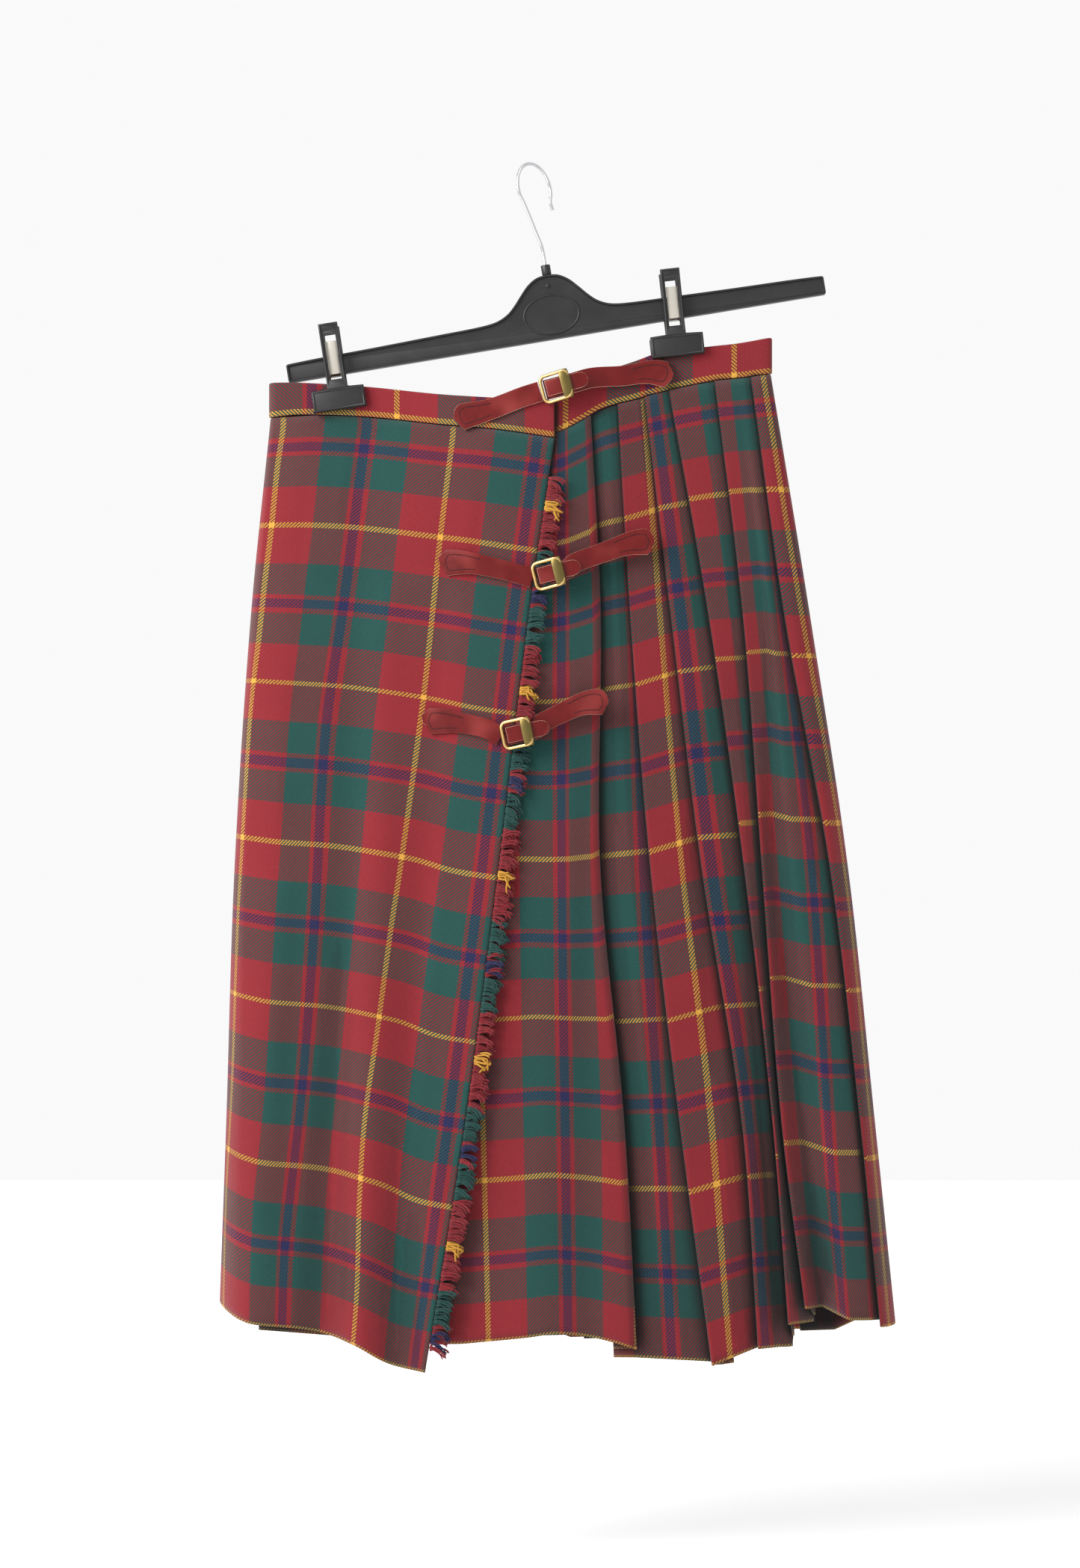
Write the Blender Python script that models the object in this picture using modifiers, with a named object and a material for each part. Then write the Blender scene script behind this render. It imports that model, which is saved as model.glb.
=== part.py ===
"""A pleated wrap kilt with three buckled straps, hung by its waistband from a clip hanger.

Lengths in the tables are millimetres, in the part's own frame: the origin is the inner top of
the hanger's hook, +X is to the right as the front is seen, -Y is the front, +Z is up.
"""
import math

import bmesh
import bpy
from mathutils import Vector

MM = 0.001
SEAM = 0.3
BAND_SEAM = 0.75
CLOTH = 1.0
BAND = 3.0
LEATHER = 1.6

# The hook's loop is turned about its stem, so its top is this far behind the stem.
STEM_Y = -3.0

# Heights, below the hook, at which the tracks of sides and folds are given between top and hem.
MID_HEIGHTS = (-329.0, -509.0, -689.0)
ROWS = 10

# Spacing of the layers in a knife pleat, at the waist and at the hem.
PITCH_TOP = 1.5
PITCH_HEM = 4.0
# Depth of the front and back from the middle plane, and what they gain towards the hem.
DEPTH_TOP = 5.2
DEPTH_GAIN_FRONT = 27.0
DEPTH_GAIN_BACK = 25.0
# How the layers' spacing and the depth grow on the way down: below 1, faster near the waist.
PITCH_CURVE = 0.9
SPREAD_CURVE = 0.85
# How much further than the pleats the aprons come out by the hem.
APRON_EXTRA = 4.0
# The cloth bows out between the two clips: where most, how far to each side, and by how much.
SAG_CENTRE = -17.0
SAG_HALF = 100.0
SAG_FRONT = 8.0
SAG_BACK = 6.0
# Share of the bow that is lost by the hem.
SAG_LOSS = 0.5
# How far in from the silhouette a side's rounding reaches, at the waist, and its gain by the hem.
REACH_TOP = 5.0
REACH_GAIN = 20.0
# Angles round a side, from the silhouette inwards.
SIDE_TURNS = (0, 20, 42, 66)
FRONT_RIGHT_TURNS = (42, 28, 14, 0)
SIDE_LAYER = 0.2
# Half width of the bend at a pleat's edges.
BEND = 0.8

# Sides, apron edge and the under apron's fold: x at the top, the three mid heights and the hem.
SIDE_LEFT = (-188.5, -203.0, -214.5, -220.3, -225.0)
SIDE_RIGHT = (172.0, 201.0, 228.0, 247.0, 262.0)
APRON_EDGE = (16.0, -2.9, -24.5, -48.0, -76.0)
FOLD_A = (42.0, 49.0, 48.6, 65.5, 74.5)
# Heights of their tops and hems.
SPAN_LEFT = (-183, -819)
SPAN_RIGHT = (-151, -835)
SPAN_EDGE = (-198, -865)
SPAN_FOLD = (-183, -850.5)

# Waistband: x, height of its lower edge, height of its upper edge.
BAND_OVER = ((-188.5, -183, -158), (-167, -181, -158), (-119, -182.5, -161), (-64, -188.5, -167),
             (-27, -192, -169.6), (16, -198, -172))
BAND_UNDER = ((-168, -184, -161), (-60, -191, -168), (0, -196.5, -173.5), (20, -193, -170.5),
              (36, -184.7, -160), (50, -176.4, -151), (74.5, -169.4, -142), (93.4, -164, -135.5),
              (128, -156.5, -131.5), (150, -154, -129), (172, -151, -125))
BAND_BACK = ((-188.5, -183, -158), (-100, -187, -163), (-20, -201, -177), (50, -186, -161),
             (100, -165, -140), (172, -151, -125))
# How far from the middle plane its three stretches lie at their ends.
BAND_OVER_Y = 6.6
BAND_UNDER_Y = 3.2
BAND_BACK_Y = 3.0
# X of its sections along the inner front end, the back and the outer front end.
BAND_INNER = (-168, -157, -146, -130, -112, -92, -72, -52, -32, -12, 6, 20, 28, 36, 44, 54, 66, 80, 93,
              104, 116, 130, 146, 160)
BAND_BEHIND = (158, 142, 126, 110, 95, 80, 65, 50, 35, 18, 0, -20, -42, -64, -86, -108, -128, -146, -164)
BAND_OUTER = (-176, -164, -146, -128, -108, -88, -68, -48, -28, -10, 4, 16)

# Hems: x at the hem, height.
HEM_OVER = ((-225, -819), (-203.6, -829), (-163, -835), (-126, -845), (-101, -859.7), (-76, -865))
HEM_UNDER = ((-200, -836), (-60, -846), (-31, -844), (-4, -841), (15, -838.6), (32, -840),
             (56, -845), (74.5, -850.5))
HEM_BACK = ((-225, -819), (-120, -836), (-13, -848), (55, -850), (145, -862), (215, -846), (262, -835))
HEM_B = -857.5

# Knife pleats of the front, left to right. Each one's left edge lies over the panel before it.
# name, x of that edge at the five heights, cloth hidden under it at top and hem,
# layers between the edge and the covered panel at top and hem, hem of the covered panel, own hem.
FRONT_PLEATS = (
    ("c", (62.0, 71.0, 85.0, 105.5, 128.5), (9.0, 15.0), (2.0, 2.0), -859.7, -861.3),
    ("d", (81.5, 100.0, 121.5, 150.0, 161.5), (9.0, 11.0), (2.0, 2.0), -849.4, -849.4),
    ("e", (99.0, 127.0, 152.0, 172.0, 183.0), (9.0, 3.6), (2.0, 2.4), -849.4, -832.0),
    ("g", (132.0, 152.0, 165.0, 178.5, 195.0), (9.0, 7.0), (2.0, 2.0), -832.0, -821.0),
    ("f", (158.0, 182.0, 214.0, 235.0, 249.0), (2.5, 2.5), (2.0, 1.8), -830.0, -834.5),
)
# Creases inside the panels: the pleat they follow, x at the five heights, depth at top and hem.
PANEL_CREASES = (
    ("d", (96.0, 124.0, 148.0, 164.0, 177.5), (2.6, 9.0), -849.4),
    ("g", (146.0, 167.0, 174.0, 192.0, 208.0), (1.0, 11.0), -821.0),
    ("g", (152.0, 172.0, 190.0, 213.0, 226.0), (1.4, 1.0), -829.0),
)
# Hidden part of the reversed pleat beside the under apron, at top and hem.
REVERSE_HIDDEN = (9.0, 16.0)
# Layers between the under apron's front and the panel that comes out from behind it.
REVERSE_LAYERS = 2.0
# How far in from the left silhouette the under apron ends, at top and hem.
UNDER_INSET = (22.0, 30.0)

# Edges of the back's knife pleats, as shares of the way from the right side to the left.
BACK_PLEATS = (0.085, 0.168, 0.247, 0.331, 0.412, 0.489, 0.573, 0.651, 0.735, 0.814, 0.898)
# Hidden part of each, as a share of the panel that shows, at top and hem, and its layers.
BACK_HIDDEN = (0.45, 0.6)
BACK_LAYERS = 2.0

# Soft folds of the aprons: x at the top and hem, half width, depth at the top and hem.
APRON_FOLDS = (
    (-171.0, -196.0, 15.0, 0.5, -4.0),
    (-120.0, -150.0, 17.0, 0.8, 6.5),
    (-96.0, -121.0, 16.0, -0.4, -7.0),
    (-58.0, -97.0, 15.0, 0.9, 4.5),
    (-20.0, -62.0, 16.0, 0.3, -2.0),
)
UNDER_FOLDS = (
    (24.0, 5.0, 22.0, 0.6, -3.0),
    (36.0, 44.0, 14.0, 0.1, 3.0),
)
# A soft fold's width at the waist, as a share of its width at the hem, and how its depth grows.
FOLD_NARROW = 0.7
FOLD_CURVE = 1.4
# How far the under apron lies behind the over apron's flat, at top and hem.
UNDER_GAP = (2.3, 9.5)
# Shares of the way across the aprons at which their columns stand.
OVER_ACROSS = (0.15, 1.0)
OVER_COLUMNS = 16
UNDER_ACROSS = (0, 0.14, 0.28, 0.42, 0.55, 0.67, 0.76, 0.83, 0.88, 0.925, 0.96, 0.99)

# Fringe along the over apron's edge.
FRINGE_TOP = 0.045
FRINGE_HEM = 0.975
FRINGE_TUFTS = 84
FRINGE_GAP = 0.5
FRINGE_STRIP = 1.6
FRINGE_LENGTH = 11.0
FRINGE_DROOP = 7.0
# Tufts are uneven in length: the shortest, and how much longer the longest is.
FRINGE_SHORT = 0.82
FRINGE_UNEVEN = 0.3
# Longer tufts droop less: what a tuft's share of the length and of the droop add up to.
FRINGE_SHARES = 1.9
# The lengths are shuffled by this step through so many places.
FRINGE_SHUFFLE = (37, 11)
FRINGE_FORWARD = 0.4
FRINGE_TAPER = 0.8

# Hanger: its axes start at the lower edge of the bar, under the stem.
TILT = math.radians(9.4)
BAR_ORIGIN = (18.3, -125.5)
BAR_THICK = 7.0
BAR_RIM = 1.8
BAR_RECESS = 1.7
# Half outline of the bar: distance along it from the stem, height of the upper edge.
BAR_TOP = ((0, 46.5), (8, 45.2), (15, 41.0), (21, 34.8), (27, 28.0), (33, 22.6), (42, 18.6),
           (56, 17.0), (80, 16.3), (130, 14.9), (190, 13.4), (195, 12.0), (196.5, 9.0))
BAR_FOOT = ((196.5, 3.0), (194.0, 0.0))
COLLAR_RADIUS = 3.4
COLLAR_HEIGHT = 7.0
WIRE = 2.4
LOOP_RADIUS = 18.3
LOOP_UP = 109.9
LOOP_ACROSS = 2.0
SWIVEL = math.radians(50)
# The hook's wire rises through these places (across, above the foot), then turns round the loop.
STEM_RISE = ((0, 0), (0, 9), (-1.0, 15), (-3.4, 21))
LOOP_START = math.radians(218)
LOOP_SWING = math.radians(248)
LOOP_STEPS = 16
LOOP_END = (1.2, -6)

# Clips: name, place of the jaw's middle, tilt, front and rear faces of what the jaws hold.
CLIPS = (
    ("left", (-138.9, -170.2), math.radians(8.6), -8.1, 4.5),
    ("right", (104.7, -131.3), math.radians(6.2), -4.7, 4.5),
)
JAW_WIDE = 38.0
JAW_TALL = 15.5
JAW_THICK = 5.0
LEVER_WIDE = 14.0
LEVER_THICK = 2.4
LEVER_TOP = 55.0
# Inner faces of the levers from the clip's middle plane: low, at the windows' tops, at their ends.
LEVER_GAP = 5.2
WINDOW_SPREAD = 9.5
LEVER_SPREAD = 10.5
LEVER_KNEE = 6.0
JAW_ROUND = 1.2
# The window in a leg: its width and the heights of its two ends.
WINDOW = (8.6, 14.5, 49.5)
SPRING = 0.7
# The spring's half outline: beyond the levers' gap, above the bar's lower edge or below the window.
SPRING_FOOT = ((-1.4, 0), (0, 1.2), (0.4, 9))
SPRING_END = (1.7, -7)
SPRING_SAG = 0.3

# Straps: name, buckle middle (x, z), its lean, strap width, then middle lines as (x, z):
# the left piece's from its sewn tab to the buckle, the right piece's from the buckle to its tab.
STRAPS = (
    ("waist", (17.0, -162.5), math.radians(15), 12.5,
     ((-52.0, -184.0), (-30.0, -178.5), (-8.0, -170.0)),
     ((44.0, -155.0), (66.0, -153.5), (84.0, -151.0), (97.0, -152.5))),
    ("hip", (11.5, -297.0), math.radians(14), 12.0,
     ((-62.0, -288.5), (-45.0, -289.0), (-20.0, -294.0)),
     ((30.0, -289.0), (52.0, -281.0), (70.0, -275.0), (83.0, -273.5))),
    ("thigh", (-11.0, -411.0), math.radians(12), 12.0,
     ((-74.0, -402.0), (-58.0, -402.5), (-34.0, -407.0)),
     ((4.0, -405.0), (20.0, -397.0), (36.0, -390.0), (50.0, -388.0))),
)
BUCKLE_LONG = 20.0
BUCKLE_HIGH = 19.0
BUCKLE_WIRE = 2.6
BUCKLE_CORNER = 4.0
PRONG = 1.5
# The prong's ends beyond the buckle's left and right bars, and how far it leans back at the left.
PRONG_REACH = (3.2, 0.8)
PRONG_LEAN = 0.4
TAB_WIDE = 18.5
# Cut ends beyond the sewn tabs' middle lines, as (x, z), and widths there as shares of TAB_WIDE.
TAB_END_LEFT = (-4.0, -1.0)
TAB_FLARE_LEFT = (0.55, 1.0, 0.86)
TAB_END_RIGHT = (4.5, 0.5)
TAB_FLARE_RIGHT = (0.5, 1.0, 0.8)
# Where the tongue runs behind the buckle: from past its right bar to past its left one.
TONGUE_BEHIND = (3.0, 6.2)
# The tip: distance past the buckle's left bar or its right one, lift, share of the strap's width.
TIP_START = (4.5, 0.0, 0.9)
TIP_END = ((3.0, 0.0, 0.9), (9.0, 0.6, 0.85), (12.5, 1.2, 0.4))
ABOVE_CLOTH = 0.2
# A strap above this height lies on the waistband, a lower one on the apron.
STRAPS_ON_BAND = -190.0

COLOURS = {
    "tartan": ((0.30, 0.03, 0.04), 0.9, 0.0),
    "leather": ((0.25, 0.01, 0.01), 0.3, 0.0),
    "brass": ((0.42, 0.30, 0.12), 0.35, 1.0),
    "steel": ((0.55, 0.55, 0.56), 0.3, 1.0),
    "plastic": ((0.03, 0.03, 0.032), 0.45, 0.0),
}


def clear_scene():
    for thing in list(bpy.data.objects):
        bpy.data.objects.remove(thing, do_unlink=True)


def material(name):
    found = bpy.data.materials.get(name)
    if found:
        return found
    colour, roughness, metallic = COLOURS[name]
    made = bpy.data.materials.new(name)
    made.use_nodes = True
    shader = made.node_tree.nodes["Principled BSDF"]
    shader.inputs["Base Color"].default_value = (*colour, 1.0)
    shader.inputs["Roughness"].default_value = roughness
    shader.inputs["Metallic"].default_value = metallic
    return made


def put(x, y, z):
    """A point of the garment or hanger, whose middle plane runs through the hook's stem."""
    return Vector((x * MM, (y + STEM_Y) * MM, z * MM))


def add_object(name, mesh, finish):
    mesh.materials.clear()
    mesh.materials.append(material(finish))
    made = bpy.data.objects.new(name, mesh)
    collection.objects.link(made)
    return made


def through(knots, at):
    """Smooth curve through (position, value) knots in rising order, flat beyond its ends."""
    if at <= knots[0][0]:
        return knots[0][1]
    if at >= knots[-1][0]:
        return knots[-1][1]
    index = 1
    while knots[index][0] < at:
        index += 1
    (x0, y0), (x1, y1) = knots[index - 1], knots[index]

    def slope(i):
        if i == 0 or i == len(knots) - 1:
            return (y1 - y0) / (x1 - x0)
        before, after = knots[i - 1], knots[i + 1]
        return (after[1] - before[1]) / (after[0] - before[0])

    span = x1 - x0
    t = (at - x0) / span
    m0, m1 = slope(index - 1) * span, slope(index) * span
    return ((2 * t**3 - 3 * t**2 + 1) * y0 + (t**3 - 2 * t**2 + t) * m0
            + (3 * t**2 - 2 * t**3) * y1 + (t**3 - t**2) * m1)


def mix(pair, share):
    return pair[0] + (pair[1] - pair[0]) * share


def track(xs, span, share):
    """X of a side or fold line at a share of the way from its top to its hem."""
    heights = (span[0],) + MID_HEIGHTS + (span[1],)
    knots = [(-height, x) for height, x in zip(heights, xs)]
    return through(knots, -mix(span, share))


def apron_edge(share):
    return track(APRON_EDGE, SPAN_EDGE, share)


def under_fold(share):
    return track(FOLD_A, SPAN_FOLD, share)


def band_edge(table, x, column):
    return through([(row[0], row[column]) for row in table], x)


def sag(x):
    """How far the slack between the two clips lets the cloth bow, from 0 to 1."""
    away = (x - SAG_CENTRE) / SAG_HALF
    return math.cos(away * math.pi / 2) ** 2 if abs(away) < 1 else 0.0


def pitch(share):
    return mix((PITCH_TOP, PITCH_HEM), share ** PITCH_CURVE)


def spread(share):
    return share ** SPREAD_CURVE


def side_x(side, share):
    return track(SIDE_LEFT, SPAN_LEFT, share) if side == "left" else track(SIDE_RIGHT, SPAN_RIGHT, share)


def side_reach(share):
    return REACH_TOP + REACH_GAIN * share


def side_turn(side, degrees, share):
    """X of a place on the round side, from 0 degrees at the silhouette to 90 on the flat."""
    inward = 1 if side == "left" else -1
    return side_x(side, share) + inward * side_reach(share) * (1 - math.cos(math.radians(degrees)))


def rounding(x, share):
    """1 over the flat of the garment, falling to 0 round its two sides."""
    near = min(x - side_x("left", share), side_x("right", share) - x) / side_reach(share)
    if near >= 1:
        return 1.0
    return math.sqrt(max(0.0, 1 - (1 - max(0.0, near)) ** 2))


def soft_folds(folds, x, share):
    total = 0.0
    for top_x, hem_x, half, top_depth, hem_depth in folds:
        away = (x - mix((top_x, hem_x), share)) / (half * mix((FOLD_NARROW, 1.0), share))
        total += mix((top_depth, hem_depth), share ** FOLD_CURVE) * math.exp(-away * away)
    return total


def apron_flat(x, share):
    return -(BAND_OVER_Y + SAG_FRONT * sag(x) * (1 - SAG_LOSS * share)
             + (DEPTH_GAIN_FRONT + APRON_EXTRA) * spread(share))


def over_y(x, share):
    return (apron_flat(x, share) + soft_folds(APRON_FOLDS, x, share)) * rounding(x, share)


def under_y(x, share):
    return (apron_flat(x, share) + mix(UNDER_GAP, share)
            + soft_folds(UNDER_FOLDS, x, share)) * rounding(x - APRON_EXTRA * share, share)


def front_y(x, share, layers):
    flat = -(DEPTH_TOP + SAG_FRONT * sag(x) * (1 - SAG_LOSS * share) + DEPTH_GAIN_FRONT * spread(share))
    return (flat + layers * pitch(share)) * rounding(x, share)


def back_y(x, share, layers):
    flat = DEPTH_TOP + SAG_BACK * sag(x) * (1 - SAG_LOSS * share) + DEPTH_GAIN_BACK * spread(share)
    return (flat - layers * pitch(share)) * rounding(x, share)


def cloth_point(x, y, top, hem, share):
    return put(x, y, mix((top - BAND_SEAM, hem), share))


def sheet(name, columns, thickness, finish):
    """A wall of cloth from columns of points, each column running down the garment."""
    bm = bmesh.new()
    grid = [[bm.verts.new(point) for point in column] for column in columns]
    for left, right in zip(grid, grid[1:]):
        for row in range(len(left) - 1):
            bm.faces.new((left[row], left[row + 1], right[row + 1], right[row]))
    mesh = bpy.data.meshes.new(name)
    bm.to_mesh(mesh)
    bm.free()
    made = add_object(name, mesh, finish)
    wall = made.modifiers.new("wall", "SOLIDIFY")
    wall.thickness = thickness * MM
    wall.offset = 0.0
    return made


def down(make_point):
    return [make_point(row / ROWS) for row in range(ROWS + 1)]


def pleat_columns(edge_x, hidden, layers, panel, hems, y_of, top_of, way):
    """Columns of one knife pleat: the covered panel's end, the way back, and the new edge.

    panel gives the depth of the new panel behind its own edge, which the hidden cloth follows.
    hems are the covered panel's and the new edge's: the hidden cloth's hem goes evenly between.
    """
    def column(offset, layer, along):
        hem = mix(hems, along)

        def point(share):
            x = edge_x(share) + way * offset(share)
            depth = panel(max(0.0, offset(share)), share) / pitch(share)
            return cloth_point(x, y_of(x, share, layer(share) + depth), top_of(x), hem, share)
        return down(point)

    return [
        column(lambda s: 0.0, layers, 0),
        column(hidden, layers, 0.25),
        column(lambda s: hidden(s) + BEND, lambda s: (layers(s) + 1) / 2, 0.5),
        column(hidden, lambda s: 1.0, 0.75),
        column(lambda s: BEND, lambda s: 1.0, 1),
        column(lambda s: 0.0, lambda s: 0.5, 1),
        column(lambda s: BEND, lambda s: 0.0, 1),
    ]


def depth_along(knots, offset):
    """Depth at an offset along a panel whose knots are (offset, depth), straight in between."""
    for (x0, y0), (x1, y1) in zip(knots, knots[1:]):
        if offset <= x1:
            return mix((y0, y1), (offset - x0) / (x1 - x0))
    return knots[-1][1]


def under_top(x):
    return band_edge(BAND_UNDER, x, 1)


def make_over_apron():
    columns = []

    def place(x, y, across, share):
        top_x = mix((SIDE_LEFT[0], APRON_EDGE[0]), across)
        hem_x = mix((SIDE_LEFT[-1], APRON_EDGE[-1]), across)
        return cloth_point(x, y, band_edge(BAND_OVER, top_x, 1), through(HEM_OVER, hem_x), share)

    for degrees in SIDE_TURNS:
        def point(share):
            x = side_turn("left", degrees, share)
            y = -SEAM if degrees == 0 else over_y(x, share)
            left = side_x("left", share)
            return place(x, y, (x - left) / (apron_edge(share) - left), share)
        columns.append(down(point))
    for index in range(OVER_COLUMNS):
        across = mix(OVER_ACROSS, index / (OVER_COLUMNS - 1))

        def point(share):
            x = mix((side_x("left", share), apron_edge(share)), across)
            return place(x, over_y(x, share), across, share)
        columns.append(down(point))
    sheet("over_apron", columns, CLOTH, "tartan")


def make_under_apron():
    columns = []
    for across in UNDER_ACROSS:
        def point(share):
            left = side_x("left", share) + mix(UNDER_INSET, share)
            x = mix((left, under_fold(share)), across)
            top_x = mix((SIDE_LEFT[0] + UNDER_INSET[0], FOLD_A[0]), across)
            hem_x = mix((SIDE_LEFT[-1] + UNDER_INSET[1], FOLD_A[-1]), across)
            return cloth_point(x, under_y(x, share), under_top(top_x), through(HEM_UNDER, hem_x), share)
        columns.append(down(point))

    def turned(offset, layer):
        def point(share):
            x = under_fold(share) - offset(share)
            y = under_y(x, share) + layer * pitch(share)
            return cloth_point(x, y, under_top(x), HEM_UNDER[-1][1], share)
        return down(point)

    columns.append(turned(lambda s: 0.0, 0.5))
    columns.append(turned(lambda s: BEND, 1.0))
    columns.append(turned(lambda s: mix(REVERSE_HIDDEN, s), 1.0))
    sheet("under_apron", columns, CLOTH, "tartan")


def front_edge(index, share):
    """X of a front pleat's edge, or of the right side after the last one."""
    if index == len(FRONT_PLEATS):
        return side_x("right", share)
    xs, hem = FRONT_PLEATS[index][1], FRONT_PLEATS[index][5]
    return track(xs, (under_top(xs[0]), hem), share)


def crease_x(crease, share):
    xs, hem = crease[1], crease[3]
    return track(xs, (under_top(xs[0]), hem), share)


def front_panel(index, offset, share):
    """Depth of a front panel behind its edge: its creases, then its slope under the next one."""
    start = front_edge(index, share)
    knots = [(0.0, 0.0)]
    for crease in PANEL_CREASES:
        if crease[0] == FRONT_PLEATS[index][0]:
            knots.append((crease_x(crease, share) - start, mix(crease[2], share)))
    last = index + 1 == len(FRONT_PLEATS)
    covered = (SIDE_LAYER, SIDE_LAYER) if last else FRONT_PLEATS[index + 1][3]
    knots.append((front_edge(index + 1, share) - start, mix(covered, share) * pitch(share)))
    return depth_along(knots, offset)


def make_pleated_front():
    columns = []

    def panel_b(offset):
        def point(share):
            x = under_fold(share) + offset(share)
            y = under_y(x, share) + REVERSE_LAYERS * pitch(share)
            return cloth_point(x, y, under_top(x), HEM_B, share)
        return down(point)

    columns.append(panel_b(lambda s: -mix(REVERSE_HIDDEN, s)))
    columns.append(panel_b(lambda s: 0.0))
    for index, (name, xs, hidden, layers, hem_before, hem_after) in enumerate(FRONT_PLEATS):
        columns += pleat_columns(lambda s: front_edge(index, s), lambda s: mix(hidden, s),
                                 lambda s: mix(layers, s), lambda offset, s: front_panel(index, offset, s),
                                 (hem_before, hem_after), front_y, under_top, 1)
        for crease in PANEL_CREASES:
            if crease[0] != name:
                continue

            def point(share):
                x = crease_x(crease, share)
                return cloth_point(x, front_y(x, share, mix(crease[2], share) / pitch(share)),
                                   under_top(x), crease[3], share)
            columns.append(down(point))
    for degrees in FRONT_RIGHT_TURNS:
        def point(share):
            x = side_turn("right", degrees, share)
            y = -SEAM if degrees == 0 else front_y(x, share, SIDE_LAYER)
            return cloth_point(x, y, under_top(x), SPAN_RIGHT[1], share)
        columns.append(down(point))
    sheet("pleated_front", columns, CLOTH, "tartan")


def back_top(x):
    return band_edge(BAND_BACK, x, 1)


def back_edge(index, share):
    across = (BACK_PLEATS + (1.0,))[index]
    return mix((side_x("right", share), side_x("left", share)), across)


def make_pleated_back():
    columns = []

    def turned(side, degrees):
        def point(share):
            x = side_turn(side, degrees, share)
            hem = HEM_BACK[-1 if side == "right" else 0][1]
            y = SEAM if degrees == 0 else back_y(x, share, SIDE_LAYER)
            return cloth_point(x, y, back_top(x), hem, share)
        return down(point)

    for degrees in SIDE_TURNS:
        columns.append(turned("right", degrees))
    for index, across in enumerate(BACK_PLEATS):
        hem = through(HEM_BACK, mix((SIDE_RIGHT[-1], SIDE_LEFT[-1]), across))

        def reveal(share):
            return back_edge(index, share) - back_edge(index + 1, share)

        def panel(offset, share):
            return depth_along([(0.0, 0.0), (reveal(share), BACK_LAYERS * pitch(share))], offset)

        columns += pleat_columns(lambda s: back_edge(index, s), lambda s: mix(BACK_HIDDEN, s) * reveal(s),
                                 lambda s: BACK_LAYERS, panel, (hem, hem), back_y, back_top, -1)

        def middle(share):
            x = (back_edge(index, share) + back_edge(index + 1, share)) / 2
            return cloth_point(x, back_y(x, share, BACK_LAYERS / 2), back_top(x), hem, share)
        columns.append(down(middle))
    for degrees in reversed(SIDE_TURNS):
        columns.append(turned("left", degrees))
    sheet("pleated_back", columns, CLOTH, "tartan")


def make_waistband():
    """One strip, wound from its hidden inner end round the right side and back to the front."""
    path = []

    def stretch(xs, depth, bow, table):
        for x in xs:
            path.append((x, depth + bow * sag(x), table))

    def round_side(edge, way, front, table):
        radius = (front + BAND_BACK_Y) / 2
        middle = (BAND_BACK_Y - front) / 2
        for step in range(5):
            turn = math.radians(45 * step - 90 * way)
            path.append((edge - way * radius + radius * math.cos(turn), middle + radius * math.sin(turn),
                         table))

    stretch(BAND_INNER, -BAND_UNDER_Y, -SAG_FRONT, BAND_UNDER)
    round_side(SIDE_RIGHT[0], 1, BAND_UNDER_Y, BAND_UNDER)
    stretch(BAND_BEHIND, BAND_BACK_Y, SAG_BACK, BAND_BACK)
    round_side(SIDE_LEFT[0], -1, BAND_OVER_Y, BAND_OVER)
    stretch(BAND_OUTER, -BAND_OVER_Y, -SAG_FRONT, BAND_OVER)
    columns = []
    for x, y, table in path:
        low, high = band_edge(table, x, 1), band_edge(table, x, 2)
        columns.append([put(x, y, high), put(x, y, low)])
    sheet("waistband", columns, BAND, "tartan")


def make_fringe():
    """A narrow strip beside the apron's edge, whose tufts are pulled out of every other face."""
    bm = bmesh.new()
    rings = []
    steps = FRINGE_TUFTS * 2
    for step in range(steps + 1):
        share = mix((FRINGE_TOP, FRINGE_HEM), step / steps)
        edge = apron_edge(share)
        height = mix(SPAN_EDGE, share)
        y = over_y(edge, share)
        ring = []
        for across, deep in ((0, -1), (1, -1), (1, 1), (0, 1)):
            x = edge + FRINGE_GAP + across * FRINGE_STRIP
            ring.append(bm.verts.new(put(x, y + deep * CLOTH / 2, height)))
        rings.append(ring)
    outer = []
    for step, (ring, below) in enumerate(zip(rings, rings[1:])):
        for side in range(4):
            after = (side + 1) % 4
            face = bm.faces.new((ring[side], below[side], below[after], ring[after]))
            if side == 1 and step % 2 == 0:
                outer.append(face)
    bm.faces.new(rings[0])
    bm.faces.new(list(reversed(rings[-1])))
    made = bmesh.ops.extrude_discrete_faces(bm, faces=outer)
    step, places = FRINGE_SHUFFLE
    for index, face in enumerate(made["faces"]):
        uneven = FRINGE_SHORT + FRINGE_UNEVEN * (index * step % places) / places
        centre = face.calc_center_median()
        droop = FRINGE_DROOP * (FRINGE_SHARES - uneven)
        move = Vector((FRINGE_LENGTH * uneven, -FRINGE_FORWARD, -droop)) * MM
        for vert in face.verts:
            vert.co = centre + (vert.co - centre) * FRINGE_TAPER + move
    bmesh.ops.recalc_face_normals(bm, faces=bm.faces[:])
    mesh = bpy.data.meshes.new("fringe")
    bm.to_mesh(mesh)
    bm.free()
    add_object("fringe", mesh, "tartan")


def bar_point(along, up):
    """A place in the hanger's plane, from its own tilted axes."""
    x = BAR_ORIGIN[0] + along * math.cos(TILT) - up * math.sin(TILT)
    z = BAR_ORIGIN[1] + along * math.sin(TILT) + up * math.cos(TILT)
    return x, z


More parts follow.
